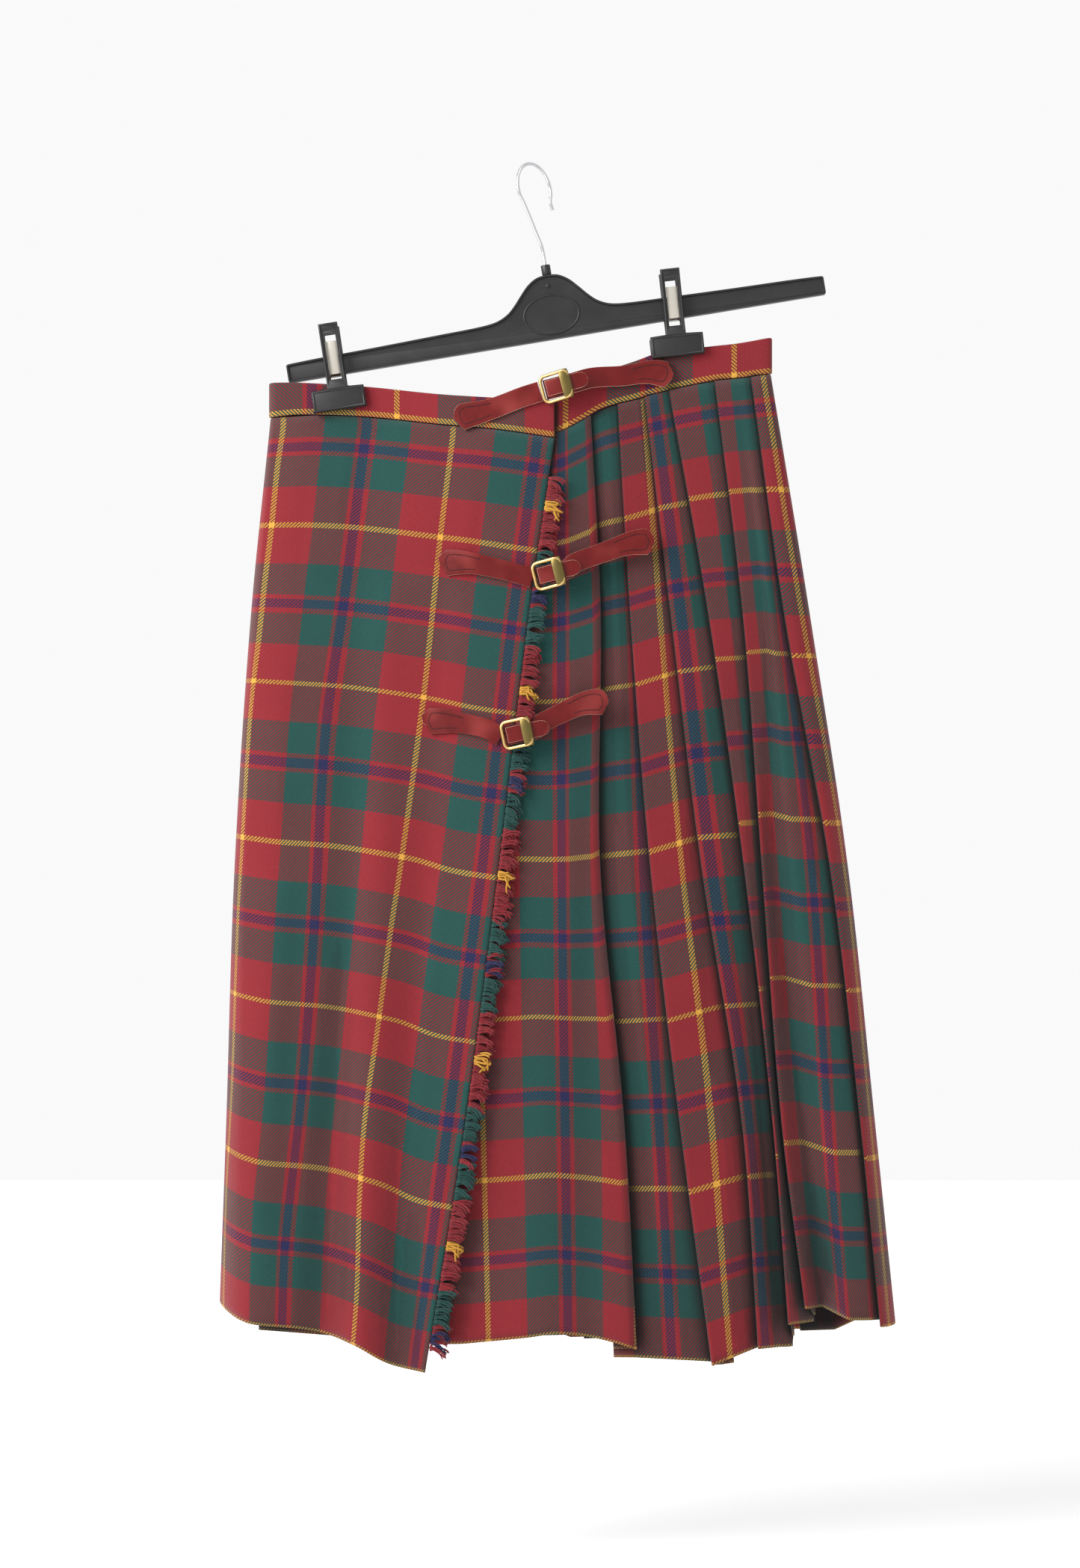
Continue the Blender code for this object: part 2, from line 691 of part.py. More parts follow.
def make_bar():
    outline = [(along, up) for along, up in reversed(BAR_TOP)]
    outline += [(-along, up) for along, up in BAR_TOP[1:]]
    outline += [(-along, up) for along, up in BAR_FOOT] + [(along, up) for along, up in reversed(BAR_FOOT)]
    bm = bmesh.new()
    faces = []
    layers = []
    for y in (-BAR_THICK / 2, BAR_THICK / 2):
        layer = []
        for along, up in outline:
            x, z = bar_point(along, up)
            layer.append(bm.verts.new(put(x, y, z)))
        layers.append(layer)
        faces.append(bm.faces.new(layer))
    for index in range(len(outline)):
        after = (index + 1) % len(outline)
        bm.faces.new((layers[0][index], layers[0][after], layers[1][after], layers[1][index]))
    bmesh.ops.recalc_face_normals(bm, faces=bm.faces[:])
    bmesh.ops.inset_individual(bm, faces=faces, thickness=BAR_RIM * MM, depth=-BAR_RECESS * MM,
                               use_even_offset=True)
    mesh = bpy.data.meshes.new("hanger_bar")
    bm.to_mesh(mesh)
    bm.free()
    add_object("hanger_bar", mesh, "plastic")


def make_tube(name, points, radius, finish, resolution=2, cyclic=False):
    curve = bpy.data.curves.new(name, "CURVE")
    curve.dimensions = "3D"
    spline = curve.splines.new("POLY")
    spline.points.add(len(points) - 1)
    for slot, point in zip(spline.points, points):
        slot.co = (*point, 1.0)
    spline.use_cyclic_u = cyclic
    curve.bevel_depth = radius * MM
    curve.bevel_resolution = resolution
    curve.use_fill_caps = not cyclic
    curve.materials.append(material(finish))
    made = bpy.data.objects.new(name, curve)
    collection.objects.link(made)
    return made


def hook_point(across, up):
    """A place in the hook's own plane, which is swivelled about the tilted stem."""
    x, z = bar_point(across * math.cos(SWIVEL), up)
    return put(x, across * math.sin(SWIVEL), z)


def make_hook():
    foot = BAR_TOP[0][1] + COLLAR_HEIGHT + 2 * SEAM
    points = [(across, foot + up) for across, up in STEM_RISE]
    for step in range(LOOP_STEPS + 1):
        turn = LOOP_START - LOOP_SWING * step / LOOP_STEPS
        points.append((LOOP_ACROSS + LOOP_RADIUS * math.cos(turn), LOOP_UP + LOOP_RADIUS * math.sin(turn)))
    points.append((points[-1][0] + LOOP_END[0], points[-1][1] + LOOP_END[1]))
    make_tube("hanger_hook", [hook_point(*point) for point in points], WIRE / 2, "steel")


def make_collar():
    x0, z0 = bar_point(0, BAR_TOP[0][1] + SEAM)
    bpy.ops.mesh.primitive_cylinder_add(vertices=20, radius=COLLAR_RADIUS * MM, depth=COLLAR_HEIGHT * MM)
    made = bpy.context.object
    made.name = "hanger_collar"
    for used in list(made.users_collection):
        used.objects.unlink(made)
    collection.objects.link(made)
    made.data.materials.append(material("plastic"))
    made.rotation_euler = (0, -TILT, 0)
    half = COLLAR_HEIGHT / 2
    made.location = put(x0 - half * math.sin(TILT), 0, z0 + half * math.cos(TILT))
    for face in made.data.polygons:
        face.use_smooth = True
    made.data.set_sharp_from_angle(angle=math.radians(40))


def clip_place(middle, lean):
    def place(across, y, up):
        x = middle[0] + across * math.cos(lean) - up * math.sin(lean)
        z = middle[1] + across * math.sin(lean) + up * math.cos(lean)
        return put(x, y, z)
    return place


def make_clip(side, middle, lean, front_face, rear_face):
    place = clip_place(middle, lean)
    jaw = JAW_TALL / 2
    for leg, sign, face in (("front", -1, front_face), ("rear", 1, rear_face)):
        pad = face + sign * SEAM
        knee = sign * max(LEVER_GAP, abs(pad))
        jaw_outer = pad + sign * JAW_THICK
        jaw_end = pad + sign * (JAW_THICK - JAW_ROUND)
        wide, narrow = JAW_WIDE / 2, LEVER_WIDE / 2
        high_inner = sign * WINDOW_SPREAD
        top_inner = sign * LEVER_SPREAD
        lever = sign * LEVER_THICK
        # Heights of the leg's sections with half width, inner face and outer face.
        sections = (
            (-jaw, wide, pad, jaw_end),
            (-jaw + JAW_ROUND, wide, pad, jaw_outer),
            (jaw - JAW_ROUND, wide, pad, jaw_outer),
            (jaw, wide, pad, jaw_end),
            (jaw + JAW_ROUND / 2, narrow, pad, jaw_end),
            (jaw + LEVER_KNEE, narrow, knee, knee + lever),
            (WINDOW[1], narrow, knee, knee + lever),
            (WINDOW[2], narrow, high_inner, high_inner + lever),
            (LEVER_TOP, narrow, top_inner, top_inner + lever),
        )
        bm = bmesh.new()
        window = WINDOW[0] / 2
        rings = []
        for up, half, inner, outer in sections:
            inset = min(half, window)
            rings.append([[bm.verts.new(place(across, y, up)) for across in (-half, -inset, inset, half)]
                          for y in (inner, outer)])
        for index, (low, high) in enumerate(zip(rings, rings[1:])):
            open_here = sections[index][0] == WINDOW[1]
            for span in range(3):
                if open_here and span == 1:
                    continue
                bm.faces.new((low[0][span], high[0][span], high[0][span + 1], low[0][span + 1]))
                bm.faces.new((low[1][span], low[1][span + 1], high[1][span + 1], high[1][span]))
            for edge in (0, 3):
                bm.faces.new((low[0][edge], low[1][edge], high[1][edge], high[0][edge]))
            if open_here:
                for edge in (1, 2):
                    bm.faces.new((low[0][edge], high[0][edge], high[1][edge], low[1][edge]))
                for ring in (low, high):
                    bm.faces.new((ring[0][1], ring[0][2], ring[1][2], ring[1][1]))
        for ring in (rings[0], rings[-1]):
            for span in range(3):
                bm.faces.new((ring[0][span], ring[0][span + 1], ring[1][span + 1], ring[1][span]))
        bmesh.ops.recalc_face_normals(bm, faces=bm.faces[:])
        mesh = bpy.data.meshes.new("clip_" + side + "_" + leg)
        bm.to_mesh(mesh)
        bm.free()
        add_object("clip_" + side + "_" + leg, mesh, "plastic")
    make_spring(side, place, bar_height(middle, lean))


def bar_height(middle, lean):
    """How far above the jaws' middle the clip's own axis meets the lower edge of the bar."""
    away = (middle[0] - BAR_ORIGIN[0], middle[1] - BAR_ORIGIN[1])
    rise = away[0] * math.sin(TILT) - away[1] * math.cos(TILT)
    return rise / math.cos(TILT - lean)


def make_spring(side, place, bar_low):
    """A flat spring bent round under the bar, its two legs standing in the legs' windows."""
    half = WINDOW[0] / 2 - SEAM
    leg_y = LEVER_GAP + 2 * SEAM
    low = bar_low - SEAM - SPRING / 2
    rear = [(leg_y + out, low + up) for out, up in SPRING_FOOT]
    rear.append((leg_y + SPRING_END[0], WINDOW[2] + SPRING_END[1]))
    path = [(-y, up) for y, up in reversed(rear)] + [(0, low - SPRING_SAG)] + rear
    columns = [[place(-half, y, up), place(half, y, up)] for y, up in path]
    sheet("clip_" + side + "_spring", columns, SPRING, "steel")


def apron_share(x, z):
    """The share of the way down the over apron at which its cloth passes a height."""
    share = 0.3
    for _ in range(4):
        left, right = side_x("left", share), apron_edge(share)
        across = min(1.0, (x - left) / (right - left))
        top = band_edge(BAND_OVER, mix((SIDE_LEFT[0], APRON_EDGE[0]), across), 1)
        hem = through(HEM_OVER, mix((SIDE_LEFT[-1], APRON_EDGE[-1]), across))
        share = min(1.0, max(0.0, (top - z) / (top - hem)))
    return share


def strap_y(x, z, lift):
    """Front face of the cloth under a strap, moved out by the lift."""
    if z > STRAPS_ON_BAND:
        return -(BAND_OVER_Y + SAG_FRONT * sag(x)) - BAND / 2 - lift
    faces = []
    for height in (z - TAB_WIDE / 2, z, z + TAB_WIDE / 2):
        share = apron_share(x, height)
        faces.append(over_y(min(x, apron_edge(share)), share))
    return min(faces) - CLOTH / 2 - ABOVE_CLOTH - lift


def strap_piece(name, line, widths):
    """A flat strap along a line of (x, y, z) places, with its width at each of them."""
    columns = []
    for index, (x, y, z) in enumerate(line):
        before = line[max(0, index - 1)]
        after = line[min(len(line) - 1, index + 1)]
        run = Vector((after[0] - before[0], after[2] - before[2]))
        run.normalize()
        half = widths[index] / 2
        columns.append([put(x - run.y * half, y, z + run.x * half),
                        put(x, y, z),
                        put(x + run.y * half, y, z - run.x * half)])
    sheet(name, columns, LEATHER, "leather")


def make_strap(name, buckle, lean, width, left_line, right_line):
    bx, bz = buckle
    along = Vector((math.cos(lean), math.sin(lean)))
    lift = SEAM + LEATHER / 2
    half_buckle = BUCKLE_LONG / 2
    wire = BUCKLE_WIRE / 2
    by = strap_y(bx, bz, lift + LEATHER + SEAM + wire - LEATHER / 2)

    def beside(offset, y):
        return bx + along.x * offset, y, bz + along.y * offset

    # Buckle: a rounded frame of wire in the plane of the cloth.
    ring = []
    for quarter, (sx, sz) in enumerate(((1, 1), (-1, 1), (-1, -1), (1, -1))):
        for step in range(4):
            turn = math.radians(90 * quarter + 30 * step)
            across = sx * (half_buckle - BUCKLE_CORNER) + BUCKLE_CORNER * math.cos(turn)
            up = sz * (BUCKLE_HIGH / 2 - BUCKLE_CORNER) + BUCKLE_CORNER * math.sin(turn)
            ring.append(put(bx + along.x * across - along.y * up, by, bz + along.y * across + along.x * up))
    make_tube("strap_" + name + "_buckle", ring, wire, "brass", 1, cyclic=True)

    # Prong: from the left bar to the right one, resting on its front.
    prong_y = by - wire - SEAM - PRONG / 2
    prong = [beside(-half_buckle + PRONG_REACH[0], prong_y + PRONG_LEAN), beside(0, prong_y),
             beside(half_buckle + PRONG_REACH[1], prong_y)]
    make_tube("strap_" + name + "_prong", [put(*place) for place in prong], PRONG / 2, "brass", 1)

    # Left piece: the tab sewn on the apron, ending at the buckle's left bar.
    line = [(x, strap_y(x, z, lift), z) for x, z in left_line]
    end = beside(-half_buckle - wire - SEAM, 0)
    line.append((end[0], strap_y(end[0], end[2], lift), end[2]))
    head = line[0]
    end_x = head[0] + TAB_END_LEFT[0]
    line.insert(0, (end_x, strap_y(end_x, head[2], lift), head[2] + TAB_END_LEFT[1]))
    strap_piece("strap_" + name + "_tab", line, [TAB_WIDE * share for share in TAB_FLARE_LEFT] + [width] * 2)

    # Right piece: from its sewn tab to behind the buckle.
    shown = [(x, strap_y(x, z, lift), z) for x, z in reversed(right_line)]
    head = shown[0]
    shown.insert(0, (head[0] + TAB_END_RIGHT[0], head[1], head[2] + TAB_END_RIGHT[1]))
    inner_y = by + wire + SEAM + LEATHER / 2
    shown += [beside(half_buckle + TONGUE_BEHIND[0], inner_y), beside(TONGUE_BEHIND[1] - half_buckle, inner_y)]
    strap_piece("strap_" + name + "_tongue", shown,
                [TAB_WIDE * share for share in TAB_FLARE_RIGHT] + [width] * 4)

    # The right piece's end, which has come back over the buckle's front.
    outer_y = prong_y - PRONG / 2 - SEAM - LEATHER / 2
    places = [(TIP_START[0] - half_buckle, 0.0, TIP_START[2]), (0.0, 0.0, TIP_START[2])]
    places += [(half_buckle + past, out, share) for past, out, share in TIP_END]
    strap_piece("strap_" + name + "_tip", [beside(offset, outer_y + out) for offset, out, _ in places],
                [width * share for _, _, share in places])


clear_scene()
collection = bpy.data.collections.new("kilt_on_clip_hanger")
bpy.context.scene.collection.children.link(collection)
make_over_apron()
make_under_apron()
make_pleated_front()
make_pleated_back()
make_waistband()
make_fringe()
make_bar()
make_collar()
make_hook()
for clip in CLIPS:
    make_clip(*clip)
for strap in STRAPS:
    make_strap(*strap)
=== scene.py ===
"""Looks of a pleated wrap kilt on a clip hanger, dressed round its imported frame.

Tables are in millimetres, in the part's own frame: the origin is the inner top of the hanger's
hook, +X is to the right as the front is seen, -Y is the front, +Z is up. Meshes are in metres.
"""
import math
import random

import bmesh
import bpy
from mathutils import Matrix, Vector
from mathutils.bvhtree import BVHTree


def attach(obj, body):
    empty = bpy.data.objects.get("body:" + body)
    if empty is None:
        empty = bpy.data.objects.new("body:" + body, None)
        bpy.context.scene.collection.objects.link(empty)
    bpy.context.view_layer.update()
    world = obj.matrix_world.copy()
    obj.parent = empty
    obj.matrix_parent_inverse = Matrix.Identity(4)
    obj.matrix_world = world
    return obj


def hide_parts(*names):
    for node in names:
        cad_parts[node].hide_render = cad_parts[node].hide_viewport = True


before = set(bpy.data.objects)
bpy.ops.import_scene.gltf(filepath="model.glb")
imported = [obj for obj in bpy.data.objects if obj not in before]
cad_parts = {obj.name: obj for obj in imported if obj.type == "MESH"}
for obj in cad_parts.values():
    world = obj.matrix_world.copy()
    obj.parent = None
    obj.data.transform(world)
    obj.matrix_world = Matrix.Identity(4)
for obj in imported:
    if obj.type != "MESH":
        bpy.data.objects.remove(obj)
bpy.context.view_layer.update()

MM = 0.001
SEAM = 0.3
BAND_SEAM = 0.75
CLOTH = 0.9
BAND = 2.8
LEATHER = 1.6
STEM_Y = -3.0

# The photograph's height in pixels, and a pixel's size at the garment's middle plane.
PHOTO_TALL = 2097
PIXEL = 0.54
FRAME_MIDDLE = (5.7, -447.0)
CAMERA_AWAY = 2300.0

# Heights, below the hook, at which the tracks of sides and folds are given between top and hem.
MID_HEIGHTS = (-329.0, -509.0, -689.0)
ROWS = 96

# Spacing of the layers in a knife pleat, at the waist and at the hem.
PITCH_TOP = 1.5
PITCH_HEM = 4.0
# Depth of the front and back from the middle plane, and what they gain towards the hem.
DEPTH_TOP = 5.2
DEPTH_GAIN_FRONT = 27.0
DEPTH_GAIN_BACK = 25.0
APRON_EXTRA = 4.0
SAG_CENTRE = -17.0
SAG_HALF = 100.0
SAG_FRONT = 8.0
SAG_BACK = 6.0

# Sides of the garment: x at the top, at the three mid heights and at the hem.
SIDE_LEFT = (-188.5, -203.0, -214.5, -220.3, -225.0)
SIDE_RIGHT = (172.0, 201.0, 228.0, 247.0, 262.0)
APRON_EDGE = (16.0, -2.9, -24.5, -48.0, -76.0)
FOLD_A = (42.0, 49.0, 48.6, 65.5, 74.5)

# Waistband: x, height of its lower edge, height of its upper edge.
BAND_OVER = ((-188.5, -183, -158), (-167, -181, -158), (-119, -182.5, -161), (-64, -188.5, -167),
             (-27, -192, -169.6), (16, -198, -172))
BAND_UNDER = ((-168, -184, -161), (-60, -191, -168), (0, -196.5, -173.5), (20, -193, -170.5),
              (36, -184.7, -160), (50, -176.4, -151), (74.5, -169.4, -142), (93.4, -164, -135.5),
              (128, -156.5, -131.5), (150, -154, -129), (172, -151, -125))
BAND_BACK = ((-188.5, -183, -158), (-100, -187, -163), (-20, -201, -177), (50, -186, -161),
             (100, -165, -140), (172, -151, -125))
BAND_OVER_Y = 6.6
BAND_UNDER_Y = 3.2
BAND_BACK_Y = 3.0
# Height of the yellow line's middle above the band's lower edge.
BAND_LINE = 2.0
# Where the band's tartan starts and ends, in millimetres past a yellow line.
BAND_TARTAN = (-315.0, 114.0)

# Hems: x at the hem, height.
HEM_OVER = ((-225, -819), (-203.6, -829), (-163, -835), (-126, -845), (-101, -859.7), (-76, -865))
HEM_UNDER = ((-200, -836), (-60, -846), (-31, -844), (-4, -841), (15, -838.6), (32, -840),
             (56, -845), (74.5, -850.5))
HEM_BACK = ((-225, -819), (-120, -836), (-13, -848), (55, -850), (145, -862), (215, -846), (262, -835))
HEM_B = -857.5

# Knife pleats of the front, left to right. Each one's left edge lies over the panel before it.
# name, x of that edge at the five heights, cloth hidden under it at top and hem,
# layers between the edge and the covered panel at top and hem, hem of the covered panel, own hem.
FRONT_PLEATS = (
    ("c", (62.0, 71.0, 85.0, 105.5, 128.5), (9.0, 15.0), (2.0, 2.0), -859.7, -861.3),
    ("d", (81.5, 100.0, 121.5, 150.0, 161.5), (9.0, 11.0), (2.0, 2.0), -849.4, -849.4),
    ("e", (99.0, 127.0, 152.0, 172.0, 183.0), (9.0, 3.6), (2.0, 2.4), -849.4, -832.0),
    ("g", (132.0, 152.0, 165.0, 178.5, 195.0), (9.0, 7.0), (2.0, 2.0), -832.0, -821.0),
    ("f", (158.0, 182.0, 214.0, 235.0, 249.0), (2.5, 2.5), (2.0, 1.8), -830.0, -834.5),
)
# Creases inside the panels: the pleat they follow, x at the five heights, depth at top and hem.
PANEL_CREASES = (
    ("d", (96.0, 124.0, 148.0, 164.0, 177.5), (2.6, 9.0), -849.4),
    ("g", (146.0, 167.0, 174.0, 192.0, 208.0), (1.0, 11.0), -821.0),
    ("g", (152.0, 172.0, 190.0, 213.0, 226.0), (1.4, 1.0), -829.0),
)
REVERSE_HIDDEN = (9.0, 16.0)

# Edges of the back's knife pleats, as shares of the way from the right side to the left.
BACK_PLEATS = (0.085, 0.168, 0.247, 0.331, 0.412, 0.489, 0.573, 0.651, 0.735, 0.814, 0.898)
BACK_HIDDEN = (0.45, 0.6)

# Soft folds of the aprons: x at the top and hem, half width, depth at the top and hem.
APRON_FOLDS = (
    (-171.0, -196.0, 15.0, 0.5, -4.0),
    (-120.0, -150.0, 17.0, 0.8, 6.5),
    (-96.0, -121.0, 16.0, -0.4, -7.0),
    (-58.0, -97.0, 15.0, 0.9, 4.5),
    (-20.0, -62.0, 16.0, 0.3, -2.0),
)
UNDER_FOLDS = (
    (24.0, 5.0, 22.0, 0.6, -3.0),
    (36.0, 44.0, 14.0, 0.1, 3.0),
)
UNDER_GAP = (2.3, 9.5)

# Small creases: x and z of one end, x and z of the other, half width, depth (behind is positive).
APRON_CREASES = (
    (-158, -196, -176, -330, 7.0, 0.9),
    (-132, -190, -141, -262, 5.0, -0.7),
    (-96, -196, -104, -300, 8.0, 0.8),
    (-60, -200, -58, -268, 5.0, -0.7),
    (-30, -206, -46, -330, 6.0, 0.8),
    (-60, -300, -112, -316, 6.0, -0.6),
    (-66, -404, -150, -428, 7.0, -0.7),
    (-196, -350, -206, -560, 6.0, 0.9),
    (-172, -470, -190, -760, 8.0, -1.0),
    (-120, -430, -141, -700, 7.0, 0.9),
    (-60, -470, -92, -790, 6.0, -0.9),
    (-40, -560, -72, -850, 5.0, 0.8),
)
FRONT_CREASES = (
    (66, -190, 78, -420, 4.0, 0.4),
    (92, -176, 128, -560, 4.0, -0.4),
    (10, -230, 12, -420, 8.0, 0.9),
    (34, -300, 26, -640, 7.0, -0.8),
    (0, -520, -12, -820, 9.0, 0.9),
    (112, -420, 140, -800, 5.0, 0.5),
    (188, -220, 232, -560, 6.0, 0.6),
)
BACK_CREASES = (
    (120, -180, 150, -420, 7.0, -0.6),
    (30, -210, 34, -480, 9.0, 0.7),
    (-60, -200, -72, -520, 8.0, -0.6),
    (-140, -200, -160, -460, 7.0, 0.7),
    (90, -520, 110, -820, 8.0, 0.6),
    (-20, -560, -30, -840, 9.0, -0.7),
    (-120, -520, -140, -800, 7.0, 0.6),
)

# Tartan: one repeat is 122 mm across and 116 mm down. Across and down are counted in repeats,
# with a yellow line at each whole number and a navy one half way.
REPEAT_ACROSS = 122.0
REPEAT_DOWN = 116.0
FIRST_YELLOW = 0.122
YELLOW_STEP = 0.1755
YARN = 0.65
# Soft shade between layers of cloth: how many ways it is tried, how far off cloth still shades.
SHADE_RAYS = 18
SHADE_REACH = 75.0
# The over apron's lines: distance below the hook, x.
APRON_YELLOW_LEFT = ((190, -178.7), (219, -183.0), (263, -186.3), (302, -190.6), (344, -193.9),
                     (377, -197.1), (491, -205.7), (550, -210.9), (670, -216.0), (742, -222.5))
APRON_NAVY = ((190, -118.8), (323, -136.0), (408, -148.0), (550, -155.5), (667, -163.9),
              (774, -175.5), (826, -177.7))
APRON_YELLOW = ((194, -56.7), (274, -66.4), (344, -73.4), (389, -78.3), (506, -94.2), (550, -101.0),
                (624, -110.7), (683, -119.0), (738, -122.6), (806, -124.2), (845, -126.9))
APRON_EDGE_ACROSS = 1.596
# The under apron's lines: x at top, middle and hem; and how far across its fold has come.
UNDER_YELLOW = (-39.0, -39.0, -31.0)
UNDER_NAVY = (22.0, 22.0, 26.0)
UNDER_FOLD_ACROSS = (0.82, 0.84, 1.0)
# What each front panel shows of a repeat: its left and right edge, at top, middle and hem.
PANEL_ACROSS = {
    "b": ((0.27, 0.24, 0.27), (0.44, 0.53, 0.75)),
    "c": ((0.87, 0.83, 0.90), (1.01, 1.11, 1.17)),
    "d": ((0.45, 0.455, 0.455), (0.61, 0.66, 0.66)),
    "e": ((0.10, 0.10, 0.10), (0.34, 0.34, 0.34)),
    "g": ((0.13, 0.13, 0.13), (0.42, 0.62, 0.87)),
    "f": ((0.93, 0.91, 0.93), (1.07, 1.00, 1.07)),
}
MIDDLE_SHARE = 0.47
BACK_PANEL_ACROSS = (0.90, 1.20)

# Fringe along the over apron's edge.
FRINGE_TOP = 0.045
FRINGE_HEM = 0.975
FRINGE_STEP = 1.7
FRINGE_YELLOW = 248.0
FRINGE_REPEAT = 131.7
# A tuft of the fringe: strands, their reach and droop, radius of the yarn at root and tip.
TUFT_STRANDS = 4
TUFT_REACH = 12.5
TUFT_DROOP = 3.6
TUFT_YARN = (0.66, 0.46)
# Bundles of yellow ends: how many, strands in each, steps along a strand, then least and most
# of how far a strand comes out, drops and curls, and the yarn's radius at root and tip.
BUNDLES = 5
BUNDLE_STRANDS = 4
BUNDLE_STEPS = 14
BUNDLE_OUT = (6.0, 10.5)
BUNDLE_DROP = (3.0, 9.0)
BUNDLE_CURL = (1.2, 2.6)
BUNDLE_YARN = (0.85, 0.65)

# Hanger: its axes start at the lower edge of the bar, under the stem.
TILT = math.radians(9.4)
BAR_ORIGIN = (18.3, -125.5)
BAR_THICK = 7.0
BAR_RIM = 1.8
BAR_RECESS = 1.7
BAR_TOP = ((0, 46.5), (8, 45.2), (15, 41.0), (21, 34.8), (27, 28.0), (33, 22.6), (42, 18.6),
           (56, 17.0), (80, 16.3), (130, 14.9), (190, 13.4), (195, 12.0), (196.5, 9.0))
BAR_END = ((195.2, 13.1), (196.2, 12.6), (196.5, 11.6))
BAR_FOOT = ((196.5, 1.4), (196.2, 0.4), (195.2, 0.0))
# The oval line and the small round boss on the bar's face: place along and up, half sizes.
OVAL = (-1.4, 17.7, 20.0, 14.0)
OVAL_WIRE = 0.7
BOSS = (-0.7, 38.6)
COLLAR_HEIGHT = 7.0
# Clips: name, place of the jaw's middle, tilt, front face of its jaw and of its lever's foot.
CLIPS = (
    ("left", (-138.9, -170.2), math.radians(8.6), -13.4, -10.8),
    ("right", (104.7, -131.3), math.radians(6.2), -10.0, -7.6),
)
# Raised rims of a clip: half sizes of the jaw's, half width of the lever's, their thickness.
JAW_RIM = (17.8, 6.6)
LEVER_RIM = 6.1
CLIP_RIM = 0.8
# Up the lever: height of its knee, then height and front face at its bend and at its end.
LEVER_KNEE = 14.5
LEVER_HIGH = (49.5, -11.9)
LEVER_END = (54.2, -12.7)
WIRE = 2.4
LOOP_RADIUS = 18.3
LOOP_UP = 109.9
LOOP_ACROSS = 2.0
# The hook's wire above its foot: points across and up, then the loop's first direction and
# how far it turns, both in degrees, its last straight bit, and steps round it.
HOOK_STEM = ((0, 0), (0, 9), (-1.0, 15), (-3.4, 21))
LOOP_START = 218
LOOP_TURN = 248
LOOP_TIP = (1.2, -6)
LOOP_STEPS = 16
SWIVEL = math.radians(50)

# Straps: name, buckle middle (x, z), direction to the right, strap width,
# middle line of the left tab from its sewn end, and of the right piece from the buckle.
STRAPS = (
    ("waist", (17.0, -162.5), math.radians(15), 12.5,
     ((-52.0, -184.0), (-30.0, -178.5), (-8.0, -170.0)),
     ((44.0, -155.0), (66.0, -153.5), (84.0, -151.0), (97.0, -152.5))),
    ("hip", (11.5, -297.0), math.radians(14), 12.0,
     ((-62.0, -288.5), (-45.0, -289.0), (-20.0, -294.0)),
     ((30.0, -289.0), (52.0, -281.0), (70.0, -275.0), (83.0, -273.5))),
    ("thigh", (-11.0, -411.0), math.radians(12), 12.0,
     ((-74.0, -402.0), (-58.0, -402.5), (-34.0, -407.0)),
     ((4.0, -405.0), (20.0, -397.0), (36.0, -390.0), (50.0, -388.0))),
)
BUCKLE_LONG = 20.0
BUCKLE_HIGH = 19.0
BUCKLE_WIRE = 2.6
BUCKLE_CORNER = 4.0
PRONG = 1.5
TAB_WIDE = 18.5
LINE_STEPS = 8
# The wide right bar of a buckle: its width, thickness and how far its edges and ends curl back.
PLATE_WIDE = 7.4
PLATE_THICK = 1.1
PLATE_ARCH = 0.7
PLATE_CURL = 1.5
# How much the plate narrows to its ends, and how far it stands out and over the frame.
PLATE_NARROWS = 0.22
PLATE_OUT = 1.2
PLATE_OVER = 0.9
# The tip of a strap past the buckle's right end: how far past, how far it lifts.
TIP_LINE = ((13.5, 1.2), (9.0, 0.6), (3.0, 0.0))
# Outline of a strap from its shaped end: distance, half width above and below the middle line.
TAB_OUTLINE = ((0.0, 0.8, 0.6), (0.5, 3.4, 1.5), (1.5, 5.7, 3.2), (3.0, 7.5, 5.8), (4.6, 8.7, 8.2),
               (5.5, 9.1, 9.4), (6.4, 9.3, 9.3), (13.0, 9.0, 8.6), (26.0, 7.5, 7.2))
TIP_OUTLINE = ((0.0, 1.0, 1.0), (0.5, 2.6, 2.6), (1.6, 4.1, 4.1), (3.4, 5.1, 5.1), (6.0, 5.6, 5.6))
STRAP_SHAPED = 8.0
STRAP_PLAIN = 42.0
# Width of the pale line that a strap's cut edge shows from the front.
PALE_EDGE = 0.65
# Stitches of a sewn tab: how far they run along it, where they turn, inset, spacing.
STITCH_RUN = 28
STITCH_TURN = 8
STITCH_INSET = 3.3
STITCH_STEP = 1.9
STITCH_PROUD = 0.1
# The row's turn at a tab's end: how far before the turn, side of the middle line.
STITCH_BEND = ((2.2, 0.85), (3.4, 0.45), (3.8, 0.0), (3.2, -0.4), (1.6, -0.9))
# One stitch: points along and behind, radius of its thread.
STITCH_LINE = ((-0.7, 0.25), (-0.35, 0.0), (0.35, 0.0), (0.7, 0.25))
STITCH_THREAD = 0.3

# Studio, in metres: half size and height of the floor, how bright the white all round is, and
# each light's name, place, aim, size and power.
FLOOR_REACH = 2.3
FLOOR_LEVEL = -1.02
ALL_ROUND = 0.95
LIGHTS = (
    ("window", (-1.5, -1.15, 0.55), (0, 0, -0.4), (1.2, 1.4), 78),
    ("ceiling", (0.6, -0.8, 1.8), (0, 0, -0.4), (1.8, 1.2), 8),
)


